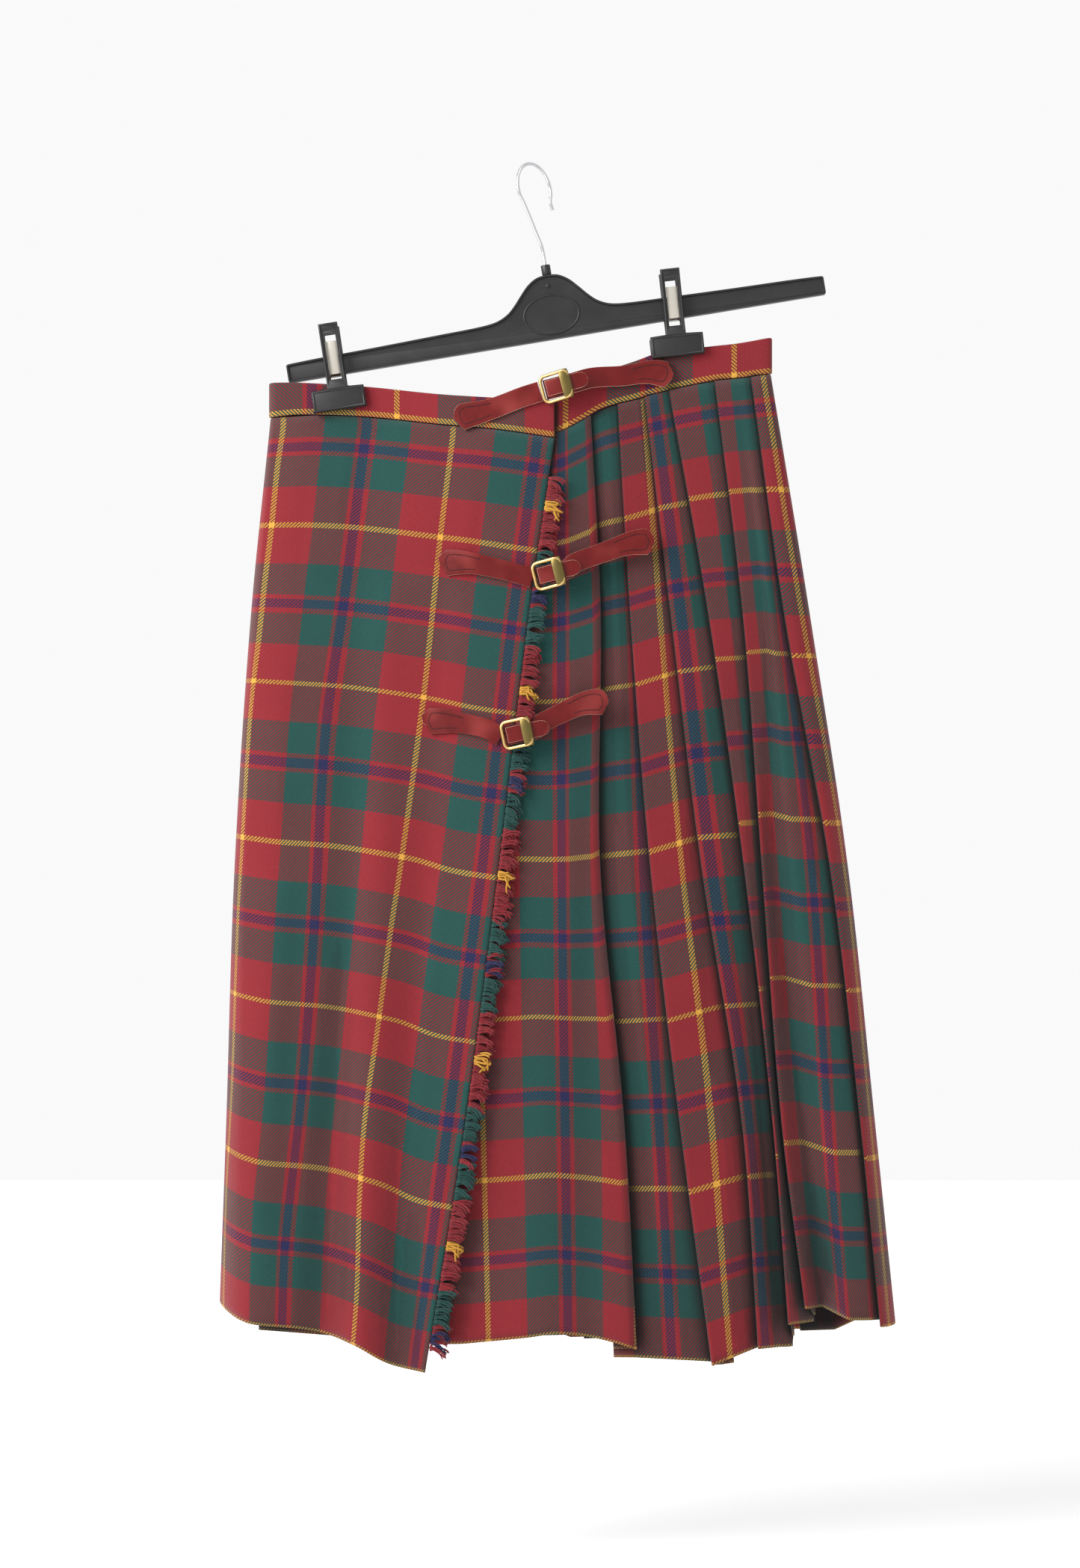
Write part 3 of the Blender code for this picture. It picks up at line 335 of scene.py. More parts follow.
class Value:
    """A number that varies over a surface, so that shader maths reads as plain arithmetic."""

    def __init__(self, finish, socket):
        self.finish = finish
        self.socket = socket

    def maths(self, operation, *others):
        sockets = {0: self}
        sockets.update({index + 1: other for index, other in enumerate(others)})
        return self.finish.node("ShaderNodeMath", {"operation": operation}, sockets)

    def flipped(self, operation, other):
        return self.finish.node("ShaderNodeMath", {"operation": operation}, {0: other, 1: self})

    def __add__(self, other):
        return self.maths("ADD", other)

    def __sub__(self, other):
        return self.maths("SUBTRACT", other)

    def __mul__(self, other):
        return self.maths("MULTIPLY", other)

    def __truediv__(self, other):
        return self.maths("DIVIDE", other)

    def __lt__(self, other):
        return self.maths("LESS_THAN", other)

    def __gt__(self, other):
        return self.maths("GREATER_THAN", other)

    def __rsub__(self, other):
        return self.flipped("SUBTRACT", other)

    def __rtruediv__(self, other):
        return self.flipped("DIVIDE", other)

    __radd__ = __add__
    __rmul__ = __mul__


class Finish:
    """A material, whose further nodes all come from one method."""

    def __init__(self, name, **constants):
        self.material = bpy.data.materials.new(name)
        self.material.use_nodes = True
        self.tree = self.material.node_tree
        self.shader = self.tree.nodes["Principled BSDF"]
        for socket, value in constants.items():
            self.shader.inputs[socket.replace("_", " ")].default_value = value

    def node(self, kind, settings, sockets, output=0):
        """A node with its settings made first, then the values or links of its sockets."""
        made = self.tree.nodes.new(kind)
        for name, value in settings.items():
            if name == "stops":
                self.set_stops(made.color_ramp, value)
            else:
                setattr(made, name, value)
        for name, value in sockets.items():
            if isinstance(value, Value):
                self.tree.links.new(value.socket, made.inputs[name])
            else:
                made.inputs[name].default_value = value
        return Value(self, made.outputs[output])

    def set_stops(self, ramp, stops):
        ramp.interpolation = "CONSTANT"
        while len(ramp.elements) < len(stops):
            ramp.elements.new(1.0)
        for element, (place, colour) in zip(ramp.elements, stops):
            element.position = place
            element.color = colour

    def feed(self, socket, value):
        self.tree.links.new(value.socket, self.shader.inputs[socket])

    def blend(self, mask, first, second, how="MIX"):
        """Colours mixed by a mask."""
        return self.node("ShaderNodeMix", {"data_type": "RGBA", "blend_type": how},
                         {0: mask, 6: first, 7: second}, output=2)

    def place(self):
        return self.node("ShaderNodeTexCoord", {}, {}, output=3)

    def noise(self, scale, detail=2.0, rough=0.5, at=None):
        return self.node("ShaderNodeTexNoise", {}, {"Vector": at or self.place(), "Scale": scale,
                                                    "Detail": detail, "Roughness": rough})

    def bump(self, height, distance, strength=1.0):
        normal = self.node("ShaderNodeBump", {},
                           {"Height": height, "Distance": distance, "Strength": strength})
        self.feed("Normal", normal)


def srgb(red, green, blue):
    """A colour from its 0 to 255 values."""
    def linear(value):
        share = value / 255
        return share / 12.92 if share <= 0.04045 else ((share + 0.055) / 1.055) ** 2.4
    return (linear(red), linear(green), linear(blue), 1.0)


RED = srgb(128, 23, 33)
GREEN = srgb(14, 66, 61)
NAVY = srgb(24, 26, 70)
YELLOW = srgb(206, 152, 56)
# Half of the sett, from a yellow line's middle to a navy line's middle.
SETT = ((0.0, YELLOW), (0.03, RED), (0.486, GREEN), (0.88, RED), (0.94, NAVY))


def through(knots, at):
    """Smooth curve through (position, value) knots in rising order, flat beyond its ends."""
    if at <= knots[0][0]:
        return knots[0][1]
    if at >= knots[-1][0]:
        return knots[-1][1]
    index = 1
    while knots[index][0] < at:
        index += 1
    (x0, y0), (x1, y1) = knots[index - 1], knots[index]

    def slope(i):
        if i == 0 or i == len(knots) - 1:
            return (y1 - y0) / (x1 - x0)
        before, after = knots[i - 1], knots[i + 1]
        return (after[1] - before[1]) / (after[0] - before[0])

    span = x1 - x0
    t = (at - x0) / span
    m0, m1 = slope(index - 1) * span, slope(index) * span
    return ((2 * t**3 - 3 * t**2 + 1) * y0 + (t**3 - 2 * t**2 + t) * m0
            + (3 * t**2 - 2 * t**3) * y1 + (t**3 - t**2) * m1)


def mix(pair, share):
    return pair[0] + (pair[1] - pair[0]) * share


def put(x, y, z):
    """A point of the garment or hanger, whose middle plane runs through the hook's stem."""
    return Vector((x * MM, (y + STEM_Y) * MM, z * MM))


def track(xs, top, hem, share):
    """X of a side or fold line at a share of the way from its top to its hem."""
    heights = (top,) + MID_HEIGHTS + (hem,)
    knots = [(-height, x) for height, x in zip(heights, xs)]
    return through(knots, -mix((top, hem), share))


def band_edge(table, x, column):
    return through([(row[0], row[column]) for row in table], x)


def sag(x):
    """How far the slack between the two clips lets the cloth bow, from 0 to 1."""
    away = (x - SAG_CENTRE) / SAG_HALF
    return math.cos(away * math.pi / 2) ** 2 if abs(away) < 1 else 0.0


def pitch(share):
    return mix((PITCH_TOP, PITCH_HEM), share ** 0.9)


def spread(share):
    return share ** 0.85


def side_x(side, share):
    table, top, hem = {"left": (SIDE_LEFT, -183, -819), "right": (SIDE_RIGHT, -151, -835)}[side]
    return track(table, top, hem, share)


def side_reach(share):
    return 5.0 + 20.0 * share


def side_turn(side, degrees, share):
    """X of a place on the round side, from 0 degrees at the silhouette to 90 on the flat."""
    inward = 1 if side == "left" else -1
    return side_x(side, share) + inward * side_reach(share) * (1 - math.cos(math.radians(degrees)))


def rounding(x, share):
    """1 over the flat of the garment, falling to 0 round its two sides."""
    near = min(x - side_x("left", share), side_x("right", share) - x) / side_reach(share)
    if near >= 1:
        return 1.0
    return math.sqrt(max(0.0, 1 - (1 - max(0.0, near)) ** 2))


def soft_folds(folds, x, share):
    total = 0.0
    for top_x, hem_x, half, top_depth, hem_depth in folds:
        away = (x - mix((top_x, hem_x), share)) / (half * (0.7 + 0.3 * share))
        total += mix((top_depth, hem_depth), share ** 1.4) * math.exp(-away * away)
    return total


def creases(rows, x, z):
    """Depth of the small creases at a place: each fades out towards its two ends."""
    total = 0.0
    for x0, z0, x1, z1, half, depth in rows:
        long = math.hypot(x1 - x0, z1 - z0)
        along = ((x - x0) * (x1 - x0) + (z - z0) * (z1 - z0)) / long ** 2
        if not 0 < along < 1:
            continue
        away = ((x - x0) * (z1 - z0) - (z - z0) * (x1 - x0)) / long / half
        total += depth * math.sin(math.pi * along) * math.exp(-away * away)
    return total


def apron_flat(x, share):
    return -(BAND_OVER_Y + SAG_FRONT * sag(x) * (1 - 0.5 * share)
             + (DEPTH_GAIN_FRONT + APRON_EXTRA) * spread(share))


def over_y(x, share):
    return (apron_flat(x, share) + soft_folds(APRON_FOLDS, x, share)) * rounding(x, share)


def under_y(x, share):
    return (apron_flat(x, share) + mix(UNDER_GAP, share)
            + soft_folds(UNDER_FOLDS, x, share)) * rounding(x - 4.0 * share, share)


def front_y(x, share, layers):
    flat = -(DEPTH_TOP + SAG_FRONT * sag(x) * (1 - 0.5 * share) + DEPTH_GAIN_FRONT * spread(share))
    return (flat + layers * pitch(share)) * rounding(x, share)


def back_y(x, share, layers):
    flat = DEPTH_TOP + SAG_BACK * sag(x) * (1 - 0.5 * share) + DEPTH_GAIN_BACK * spread(share)
    return (flat - layers * pitch(share)) * rounding(x, share)


def apron_edge(share):
    return track(APRON_EDGE, -198, -865, share)


def under_fold(share):
    return track(FOLD_A, -183, -850.5, share)


def under_top(x):
    return band_edge(BAND_UNDER, x, 1)


def back_top(x):
    return band_edge(BAND_BACK, x, 1)


def at_share(values, share):
    """A value given at top, middle and hem."""
    return through(((0.0, values[0]), (MIDDLE_SHARE, values[1]), (1.0, values[2])), share)


def straight(knots, at):
    """Straight lines through (position, value) knots, carried on beyond both ends."""
    index = 1
    while index < len(knots) - 1 and knots[index][0] < at:
        index += 1
    (x0, y0), (x1, y1) = knots[index - 1], knots[index]
    return y0 + (y1 - y0) * (at - x0) / (x1 - x0)


def on_cloth(x, y, top, hem, share, across, small=()):
    """One point of a sheet with its place in the tartan: (point, repeats across, repeats down)."""
    z = mix((top - BAND_SEAM, hem), share)
    y += creases(small, x, z) * min(1.0, 8 * share)
    return put(x, y, z), across, (share - FIRST_YELLOW) / YELLOW_STEP


def down(make_point, rows=ROWS):
    return [make_point(row / rows) for row in range(rows + 1)]


def add_object(name, mesh, *finishes):
    mesh.materials.clear()
    for finish in finishes:
        mesh.materials.append(finish.material)
    made = bpy.data.objects.new(name, mesh)
    bpy.context.scene.collection.objects.link(made)
    return made


def grid_mesh(name, columns):
    """A smooth open surface from columns of (point, u, v), each running down."""
    tall = len(columns[0])
    points = [point for column in columns for point, _, _ in column]
    faces = []
    for left in range(len(columns) - 1):
        for row in range(tall - 1):
            first = left * tall + row
            faces.append((first, first + 1, first + tall + 1, first + tall))
    mesh = bpy.data.meshes.new(name)
    mesh.from_pydata(points, [], faces)
    layer = mesh.uv_layers.new(name="sett")
    flat = [(u, v) for column in columns for _, u, v in column]
    for loop in mesh.loops:
        layer.data[loop.index].uv = flat[loop.vertex_index]
    mesh.shade_smooth()
    return mesh


def thicken(made, thickness, rim=0, offset=0.0):
    wall = made.modifiers.new("wall", "SOLIDIFY")
    wall.thickness = thickness * MM
    wall.offset = offset
    wall.material_offset_rim = rim
    return wall


def round_edges(made, width, segments=2, degrees=40, trim=-1):
    """Rounded edges, which can have a finish of their own, by its place in the piece's list."""
    soft = made.modifiers.new("soft edges", "BEVEL")
    soft.width = width * MM
    soft.segments = segments
    soft.limit_method = "ANGLE"
    soft.angle_limit = math.radians(degrees)
    soft.material = trim


def settle(made, slot, *nodes):
    """The piece rides on the one body and stands for its nodes."""
    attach(made, "root")
    if nodes:
        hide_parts(*nodes)
    return made


def sheet(name, columns, finish, thickness=CLOTH):
    made = add_object(name, grid_mesh(name, columns), finish)
    thicken(made, thickness)
    return made


def store_openness(pieces):
    """Stores at each point of the cloth how open it lies, for the soft shade between layers."""
    points = []
    faces = []
    for piece in pieces:
        first = len(points)
        points += [vertex.co.copy() for vertex in piece.data.vertices]
        faces += [[first + index for index in face.vertices] for face in piece.data.polygons]
    cloth = BVHTree.FromPolygons(points, faces)
    ways = []
    for index in range(SHADE_RAYS):
        up = 1 - 2 * (index + 0.5) / SHADE_RAYS
        turn = math.pi * (1 + math.sqrt(5)) * index
        flat = math.sqrt(1 - up * up)
        ways.append(Vector((flat * math.cos(turn), flat * math.sin(turn), up)) * 0.98)
    reach = SHADE_REACH * MM
    for piece in pieces:
        values = []
        for vertex in piece.data.vertices:
            outward = vertex.normal.copy()
            if outward.y * (vertex.co.y - STEM_Y * MM) < 0:
                outward.negate()
            start = vertex.co + outward * (CLOTH * MM)
            blocked = 0.0
            for way in ways:
                distance = cloth.ray_cast(start, outward + way, reach)[3]
                if distance is not None:
                    blocked += 1 - distance / reach
            values.append(1 - blocked / SHADE_RAYS)
        piece.data.attributes.new("open", "FLOAT", "POINT").data.foreach_set("value", values)


def wrapped(columns, fixed, way):
    """Tartan carried round a side: repeats are counted by cloth length from a fixed column."""
    order = range(fixed - 1, -1, -1) if way < 0 else range(fixed + 1, len(columns))
    for index in order:
        beside = columns[index - way]
        renewed = []
        for here, there in zip(columns[index], beside):
            step = (here[0] - there[0]).to_2d().length / MM / REPEAT_ACROSS
            renewed.append((here[0], there[1] + way * step, here[2]))
        columns[index] = renewed


def apron_across(x, z):
    """How many repeats across the over apron a place is, from the lines that run down it."""
    below = -z
    lines = [(through(table, below), across) for table, across in
             ((APRON_YELLOW_LEFT, 0.0), (APRON_NAVY, 0.5), (APRON_YELLOW, 1.0))]
    edge = straight([(-height, place) for height, place in
                     zip((-198.0,) + MID_HEIGHTS + (-865.0,), APRON_EDGE)], below)
    lines.append((edge, APRON_EDGE_ACROSS))
    return straight(lines, x)


def over_apron_columns():
    columns = []

    def place(x, y, across, share):
        top = band_edge(BAND_OVER, mix((SIDE_LEFT[0], APRON_EDGE[0]), across), 1)
        hem = through(HEM_OVER, mix((SIDE_LEFT[-1], APRON_EDGE[-1]), across))
        z = mix((top - BAND_SEAM, hem), share)
        return on_cloth(x, y, top, hem, share, apron_across(x, z), APRON_CREASES)

    turns = (0, 10, 20, 30, 40, 50, 60, 70)
    for degrees in turns:
        def point(share):
            x = side_turn("left", degrees, share)
            y = -SEAM if degrees == 0 else over_y(x, share)
            left = side_x("left", share)
            return place(x, y, (x - left) / (apron_edge(share) - left), share)
        columns.append(down(point))
    steps = 72
    for index in range(steps + 1):
        across = mix((0.15, 1.0), index / steps)

        def point(share):
            x = mix((side_x("left", share), apron_edge(share)), across)
            return place(x, over_y(x, share), across, share)
        columns.append(down(point))
    wrapped(columns, len(turns), -1)
    return columns


def under_across(x, share):
    fold = under_fold(share)
    lines = ((at_share(UNDER_YELLOW, share), 0.0), (at_share(UNDER_NAVY, share), 0.5),
             (fold, at_share(UNDER_FOLD_ACROSS, share)))
    return straight(lines, x)


def under_apron_columns():
    columns = []
    left_inset = (22.0, 30.0)
    steps = 80
    for index in range(steps):
        across = (index / steps) * 0.99

        def point(share):
            left = side_x("left", share) + mix(left_inset, share)
            x = mix((left, under_fold(share)), across)
            hem_x = mix((SIDE_LEFT[-1] + left_inset[1], FOLD_A[-1]), across)
            top_x = mix((SIDE_LEFT[0] + left_inset[0], FOLD_A[0]), across)
            return on_cloth(x, under_y(x, share), under_top(top_x), through(HEM_UNDER, hem_x),
                            share, under_across(x, share), FRONT_CREASES)
        columns.append(down(point))

    def turned(offset, layer):
        def point(share):
            x = under_fold(share) - offset(share)
            y = under_y(x, share) + layer * pitch(share)
            across = at_share(UNDER_FOLD_ACROSS, share) + offset(share) / REPEAT_ACROSS
            return on_cloth(x, y, under_top(x), HEM_UNDER[-1][1], share, across, FRONT_CREASES)
        return down(point)

    for offset, layer in ((0.25, 0.12), (0.0, 0.5), (0.25, 0.88), (0.8, 1.0)):
        columns.append(turned(lambda s: offset, layer))
    for part in (0.4, 0.7, 1.0):
        columns.append(turned(lambda s: part * mix(REVERSE_HIDDEN, s), 1.0))
    return columns


def front_edge(index, share):
    """X of a front pleat's edge, or of the right side after the last one."""
    if index == len(FRONT_PLEATS):
        return side_x("right", share)
    xs, hem = FRONT_PLEATS[index][1], FRONT_PLEATS[index][5]
    return track(xs, under_top(xs[0]), hem, share)


def crease_x(crease, share):
    xs, hem = crease[1], crease[3]
    return track(xs, under_top(xs[0]), hem, share)


def panel_knots(index, share):
    """A front panel's (offset behind its edge, depth, hem): its creases, then its covered end."""
    start = front_edge(index, share)
    name, _, _, _, _, own_hem = FRONT_PLEATS[index]
    knots = [(0.0, 0.0, own_hem)]
    for crease in PANEL_CREASES:
        if crease[0] == name:
            knots.append((crease_x(crease, share) - start, mix(crease[2], share), crease[3]))
    if index + 1 < len(FRONT_PLEATS):
        covered, end_hem = FRONT_PLEATS[index + 1][3], FRONT_PLEATS[index + 1][4]
    else:
        covered, end_hem = (0.2, 0.2), -835.0
    knots.append((front_edge(index + 1, share) - start, mix(covered, share) * pitch(share), end_hem))
    return knots


def softened(knots, at):
    """Through the knots with corners eased over half of the straight way."""
    eased = straight(knots, min(max(at, knots[0][0]), knots[-1][0]))
    return (eased + through(knots, at)) / 2


def panel_depth(index, offset, share):
    return softened([(knot[0], knot[1]) for knot in panel_knots(index, share)], offset)


def panel_hem(index, offset, share):
    knots = [(knot[0], knot[2]) for knot in panel_knots(index, share)]
    return straight(knots, min(max(offset, 0.0), knots[-1][0]))


def knife_fold(edge_x, hidden, layers, panel, hems, y_of, top_of, way, shown, small):
    """Columns of one knife pleat: the covered panel's end, the way back, and the new edge.

    shown gives the repeats across at the covered panel's end and at the new edge.
    """
    turn = 0.8
    hem_before, hem_after = hems
    middle = (hem_before + hem_after) / 2

    def column(offset, layer, hem, run):
        def point(share):
            away = offset(share)
            x = edge_x(share) + way * away
            depth = panel(max(0.0, away), share) / pitch(share)
            ended, begun = shown(share)
            across = (ended + away / REPEAT_ACROSS, begun)[run]
            return on_cloth(x, y_of(x, share, layer(share) + depth), top_of(x), hem, share, across, small)
        return down(point)

    def turned(angle):
        lean = math.radians(angle)
        return column(lambda s: hidden(s) + turn * math.cos(lean),
                      lambda s: (layers(s) + 1) / 2 + (layers(s) - 1) / 2 * math.sin(lean), middle, 0)

    def edged(angle):
        lean = math.radians(angle)
        return column(lambda s: turn * (1 - math.cos(lean)), lambda s: 0.5 + 0.5 * math.sin(lean),
                      hem_after, 1)

    return [
        column(lambda s: 0.0, layers, hem_before, 0),
        column(lambda s: hidden(s) / 2, layers, hem_before, 0),
        column(hidden, layers, hem_before, 0),
        turned(50), turned(0), turned(-50),
        column(hidden, lambda s: 1.0, middle, 0),
        column(lambda s: hidden(s) / 2, lambda s: 1.0, hem_after, 1),
        column(lambda s: turn, lambda s: 1.0, hem_after, 1),
        edged(50), edged(0), edged(-50),
        column(lambda s: turn, lambda s: 0.0, hem_after, 1),
    ]


def pleated_front_columns():
    columns = []

    def panel_b(offset, along):
        def point(share):
            x = under_fold(share) + offset(share)
            y = under_y(x, share) + 2.0 * pitch(share)
            left, right = PANEL_ACROSS["b"]
            across = at_share(left, share) + along(share) * (at_share(right, share)
                                                             - at_share(left, share))
            return on_cloth(x, y, under_top(x), HEM_B, share, across, FRONT_CREASES)
        return down(point)

    columns.append(panel_b(lambda s: -mix(REVERSE_HIDDEN, s), lambda s: -0.5))
    columns.append(panel_b(lambda s: 0.0, lambda s: 0.0))
    steps_b = 14
    for index in range(1, steps_b):
        part = index / steps_b

        def point(share):
            first, last = under_fold(share), front_edge(0, share)
            x = mix((first, last), part)
            start = under_y(first, share) + 2.0 * pitch(share)
            end = front_y(last, share, FRONT_PLEATS[0][3][0])
            left, right = PANEL_ACROSS["b"]
            across = mix((at_share(left, share), at_share(right, share)), part)
            hem = mix((HEM_B, FRONT_PLEATS[0][4]), part)
            return on_cloth(x, mix((start, end), part), under_top(x), hem, share, across, FRONT_CREASES)
        columns.append(down(point))
    before = "b"
    for index, (name, xs, hidden, layers, hem_before, hem_after) in enumerate(FRONT_PLEATS):
        def shown(share):
            return at_share(PANEL_ACROSS[before][1], share), at_share(PANEL_ACROSS[name][0], share)

        columns += knife_fold(lambda s: front_edge(index, s), lambda s: mix(hidden, s),
                              lambda s: mix(layers, s), lambda offset, s: panel_depth(index, offset, s),
                              (hem_before, hem_after), front_y, under_top, 1, shown, FRONT_CREASES)
        steps = 22 if name in "cg" else 14
        last = steps if index + 1 < len(FRONT_PLEATS) else 5
        for step in range(1, last):
            part = step / steps

            def point(share):
                start, end = front_edge(index, share), front_edge(index + 1, share)
                offset = mix((0.8, end - start), part)
                x = start + offset
                y = front_y(x, share, panel_depth(index, offset, share) / pitch(share))
                left, right = PANEL_ACROSS[name]
                across = mix((at_share(left, share), at_share(right, share)), part)
                return on_cloth(x, y, under_top(x), panel_hem(index, offset, share), share, across,
                                FRONT_CREASES)
            columns.append(down(point))
        before = name
    fixed = len(columns) - 1
    for degrees in (48, 36, 24, 12, 0):
        def point(share):
            x = side_turn("right", degrees, share)
            y = -SEAM if degrees == 0 else front_y(x, share, 0.2)
            return on_cloth(x, y, under_top(x), -835.0, share, 0.0)
        columns.append(down(point))
    wrapped(columns, fixed, 1)
    return columns


def back_edge(index, share):
    across = (BACK_PLEATS + (1.0,))[index]
    return mix((side_x("right", share), side_x("left", share)), across)


def pleated_back_columns(right_across, left_across):
    """The back's columns; the tartan is carried on from the front at both sides."""
    columns = []
    steps = 9
    turns = (0, 12, 24, 36, 48, 60, 72)

    def turned(side, degrees):
        def point(share):
            x = side_turn(side, degrees, share)
            hem = HEM_BACK[-1 if side == "right" else 0][1]
            y = SEAM if degrees == 0 else back_y(x, share, 0.2)
            row = round(share * ROWS)
            across = (right_across if side == "right" else left_across)[row]
            return on_cloth(x, y, back_top(x), hem, share, across)
        return down(point)

    for degrees in turns:
        columns.append(turned("right", degrees))
    wrapped(columns, 0, 1)
    ended = [place[1] for place in columns[-1]]
    for index, part in enumerate(BACK_PLEATS):
        hem = through(HEM_BACK, mix((SIDE_RIGHT[-1], SIDE_LEFT[-1]), part))

        def reveal(share):
            return back_edge(index, share) - back_edge(index + 1, share)

        def panel(offset, share):
            return straight(((0.0, 0.0), (reveal(share), 2.0 * pitch(share))),
                            min(offset, reveal(share)))

        def shown(share):
            row = round(share * ROWS)
            return (ended[row] if index == 0 else BACK_PANEL_ACROSS[1]), BACK_PANEL_ACROSS[0]

        columns += knife_fold(lambda s: back_edge(index, s), lambda s: mix(BACK_HIDDEN, s) * reveal(s),
                              lambda s: 2.0, panel, (hem, hem), back_y, back_top, -1, shown,
                              BACK_CREASES)
        last = steps if index + 1 < len(BACK_PLEATS) else steps - 3
        for step in range(1, last):
            share_across = step / steps

            def point(share):
                offset = mix((0.8, reveal(share)), share_across)
                x = back_edge(index, share) - offset
                depth = panel(offset, share) / pitch(share)
                return on_cloth(x, back_y(x, share, depth), back_top(x), hem, share,
                                mix(BACK_PANEL_ACROSS, share_across), BACK_CREASES)
            columns.append(down(point))
    fixed = len(columns)
    for degrees in reversed(turns):
        columns.append(turned("left", degrees))
    wrapped_back = columns[fixed:]
    wrapped(wrapped_back, len(wrapped_back) - 1, -1)
    columns[fixed:] = wrapped_back
    return columns


def waistband_columns():
    """One strip, wound from its hidden inner end round the right side and back to the front."""
    knots = []
    for x in (-168, -130, -92, -52, -12, 20, 36, 54, 80, 104, 130, 160):
        knots.append((x, -(BAND_UNDER_Y + SAG_FRONT * sag(x)), BAND_UNDER))
    radius = (BAND_UNDER_Y + BAND_BACK_Y) / 2
    middle = (BAND_BACK_Y - BAND_UNDER_Y) / 2
    for step in range(9):
        turn = math.radians(-90 + 22.5 * step)
        knots.append((SIDE_RIGHT[0] - radius + radius * math.cos(turn),
                      middle + radius * math.sin(turn), BAND_UNDER))
    for x in (156, 126, 95, 65, 35, 0, -42, -86, -128, -164):
        knots.append((x, BAND_BACK_Y + SAG_BACK * sag(x), BAND_BACK))
    radius = (BAND_OVER_Y + BAND_BACK_Y) / 2
    middle = (BAND_BACK_Y - BAND_OVER_Y) / 2
    for step in range(9):
        turn = math.radians(90 + 22.5 * step)
        knots.append((SIDE_LEFT[0] + radius + radius * math.cos(turn),
                      middle + radius * math.sin(turn), BAND_OVER))
    for x in (-176, -160, -128, -88, -48, -10, 16):
        knots.append((x, -(BAND_OVER_Y + SAG_FRONT * sag(x)), BAND_OVER))
    path = []
    for (x0, y0, table), (x1, y1, after) in zip(knots, knots[1:]):
        cuts = max(1, round(math.hypot(x1 - x0, y1 - y0) / 4))
        for cut in range(cuts):
            path.append((mix((x0, x1), cut / cuts), y0, y1, cut / cuts, table, after))
    path.append((knots[-1][0], knots[-1][1], knots[-1][1], 0.0, knots[-1][2], knots[-1][2]))
    rows = 10
    columns = []
    for x, y0, y1, part, table, after in path:
        y = mix((y0, y1), part)
        column = []
        for row in range(rows + 1):
            up = 1 - row / rows
            low, high = (mix((band_edge(table, x, edge), band_edge(after, x, edge)), part)
                         for edge in (1, 2))
            column.append((put(x, y, mix((low, high), up)), 0.0, mix((low, high), up) - low))
        columns.append(column)
    return columns


def band_tartan(columns):
    """The band's tartan: counted by length, with a yellow line along its lower edge."""
    run = 0.0
    placed = []
    before = columns[0][0][0]
    for column in columns:
        run += (column[0][0] - before).to_2d().length / MM
        before = column[0][0]
        placed.append(run)
    total = placed[-1]
    start, last = (place / REPEAT_ACROSS for place in BAND_TARTAN)
    finish = round((start + total / REPEAT_ACROSS) - last) + last
    renewed = []
    for column, gone in zip(columns, placed):
        across = mix((start, finish), gone / total)
        renewed.append([(point, across, (height - BAND_LINE) / REPEAT_DOWN)
                        for point, _, height in column])
    return renewed


def yarn_height(select, warp, weft):
    """Round backs of the yarns, whichever lies on top."""
    over = (warp.maths("FRACT") * math.pi).maths("SINE")
    under = (weft.maths("FRACT") * math.pi).maths("SINE")
    return over * select + under * (1 - select)


def tartan_finish():
    cloth = Finish("tartan twill", Roughness=0.88, Sheen_Weight=0.12, Sheen_Roughness=0.5,
                   Specular_IOR_Level=0.25)
    spot = cloth.node("ShaderNodeUVMap", {"uv_map": "sett"}, {})
    parts = cloth.tree.nodes.new("ShaderNodeSeparateXYZ")
    cloth.tree.links.new(spot.socket, parts.inputs[0])
    across = Value(cloth, parts.outputs[0])
    downward = Value(cloth, parts.outputs[1])
    warp = across * (REPEAT_ACROSS / YARN)
    weft = downward * (REPEAT_DOWN / YARN)
    warp_count = warp.maths("FLOOR")
    weft_count = weft.maths("FLOOR")
    step = (warp_count + weft_count).maths("FLOORED_MODULO", 4.0)
    select = step < 1.5

    def stripe(count, yarns):
        along = ((count + 0.5) / yarns).maths("PINGPONG", 0.5) * 2.0
        return cloth.node("ShaderNodeValToRGB", {"stops": SETT}, {"Fac": along})

    warp_colour = stripe(warp_count, REPEAT_ACROSS / YARN)
    weft_colour = stripe(weft_count, REPEAT_DOWN / YARN)
    colour = cloth.blend(select, weft_colour, warp_colour)
    heather = cloth.noise(900.0, 3.0, 0.7)
    broad = cloth.noise(16.0, 2.0, 0.5)
    shade = 0.46 + 0.42 * heather + 0.16 * broad
    height = yarn_height(select, warp, weft)
    # Painted shade: the colour darkens towards the gaps between the yarns' round backs.
    shade = shade * (0.8 + 0.24 * height)
    apart = cloth.node("ShaderNodeVectorMath", {"operation": "DISTANCE"},
                       {0: warp_colour, 1: weft_colour}, output=1)
    shade = shade * (1 - 0.8 * apart.maths("MINIMUM", 0.34))
    # Painted shade: the base colour is darkened where the cloth lies closed in among other layers, at the
    # pleats' edges and under the apron.
    room = cloth.node("ShaderNodeAttribute", {"attribute_name": "open"}, {}, output=2)
    shade = shade * (0.05 + 1.0 * room.maths("POWER", 5.2))
    tint = cloth.node("ShaderNodeCombineColor", {}, {0: shade, 1: shade, 2: shade})
    cloth.feed("Base Color", cloth.blend(1.0, colour, tint, "MULTIPLY"))
    fuzz = cloth.noise(1400.0, 2.0, 0.8)
    cloth.bump(height + 0.8 * fuzz, 0.00018, 0.8)
    return cloth


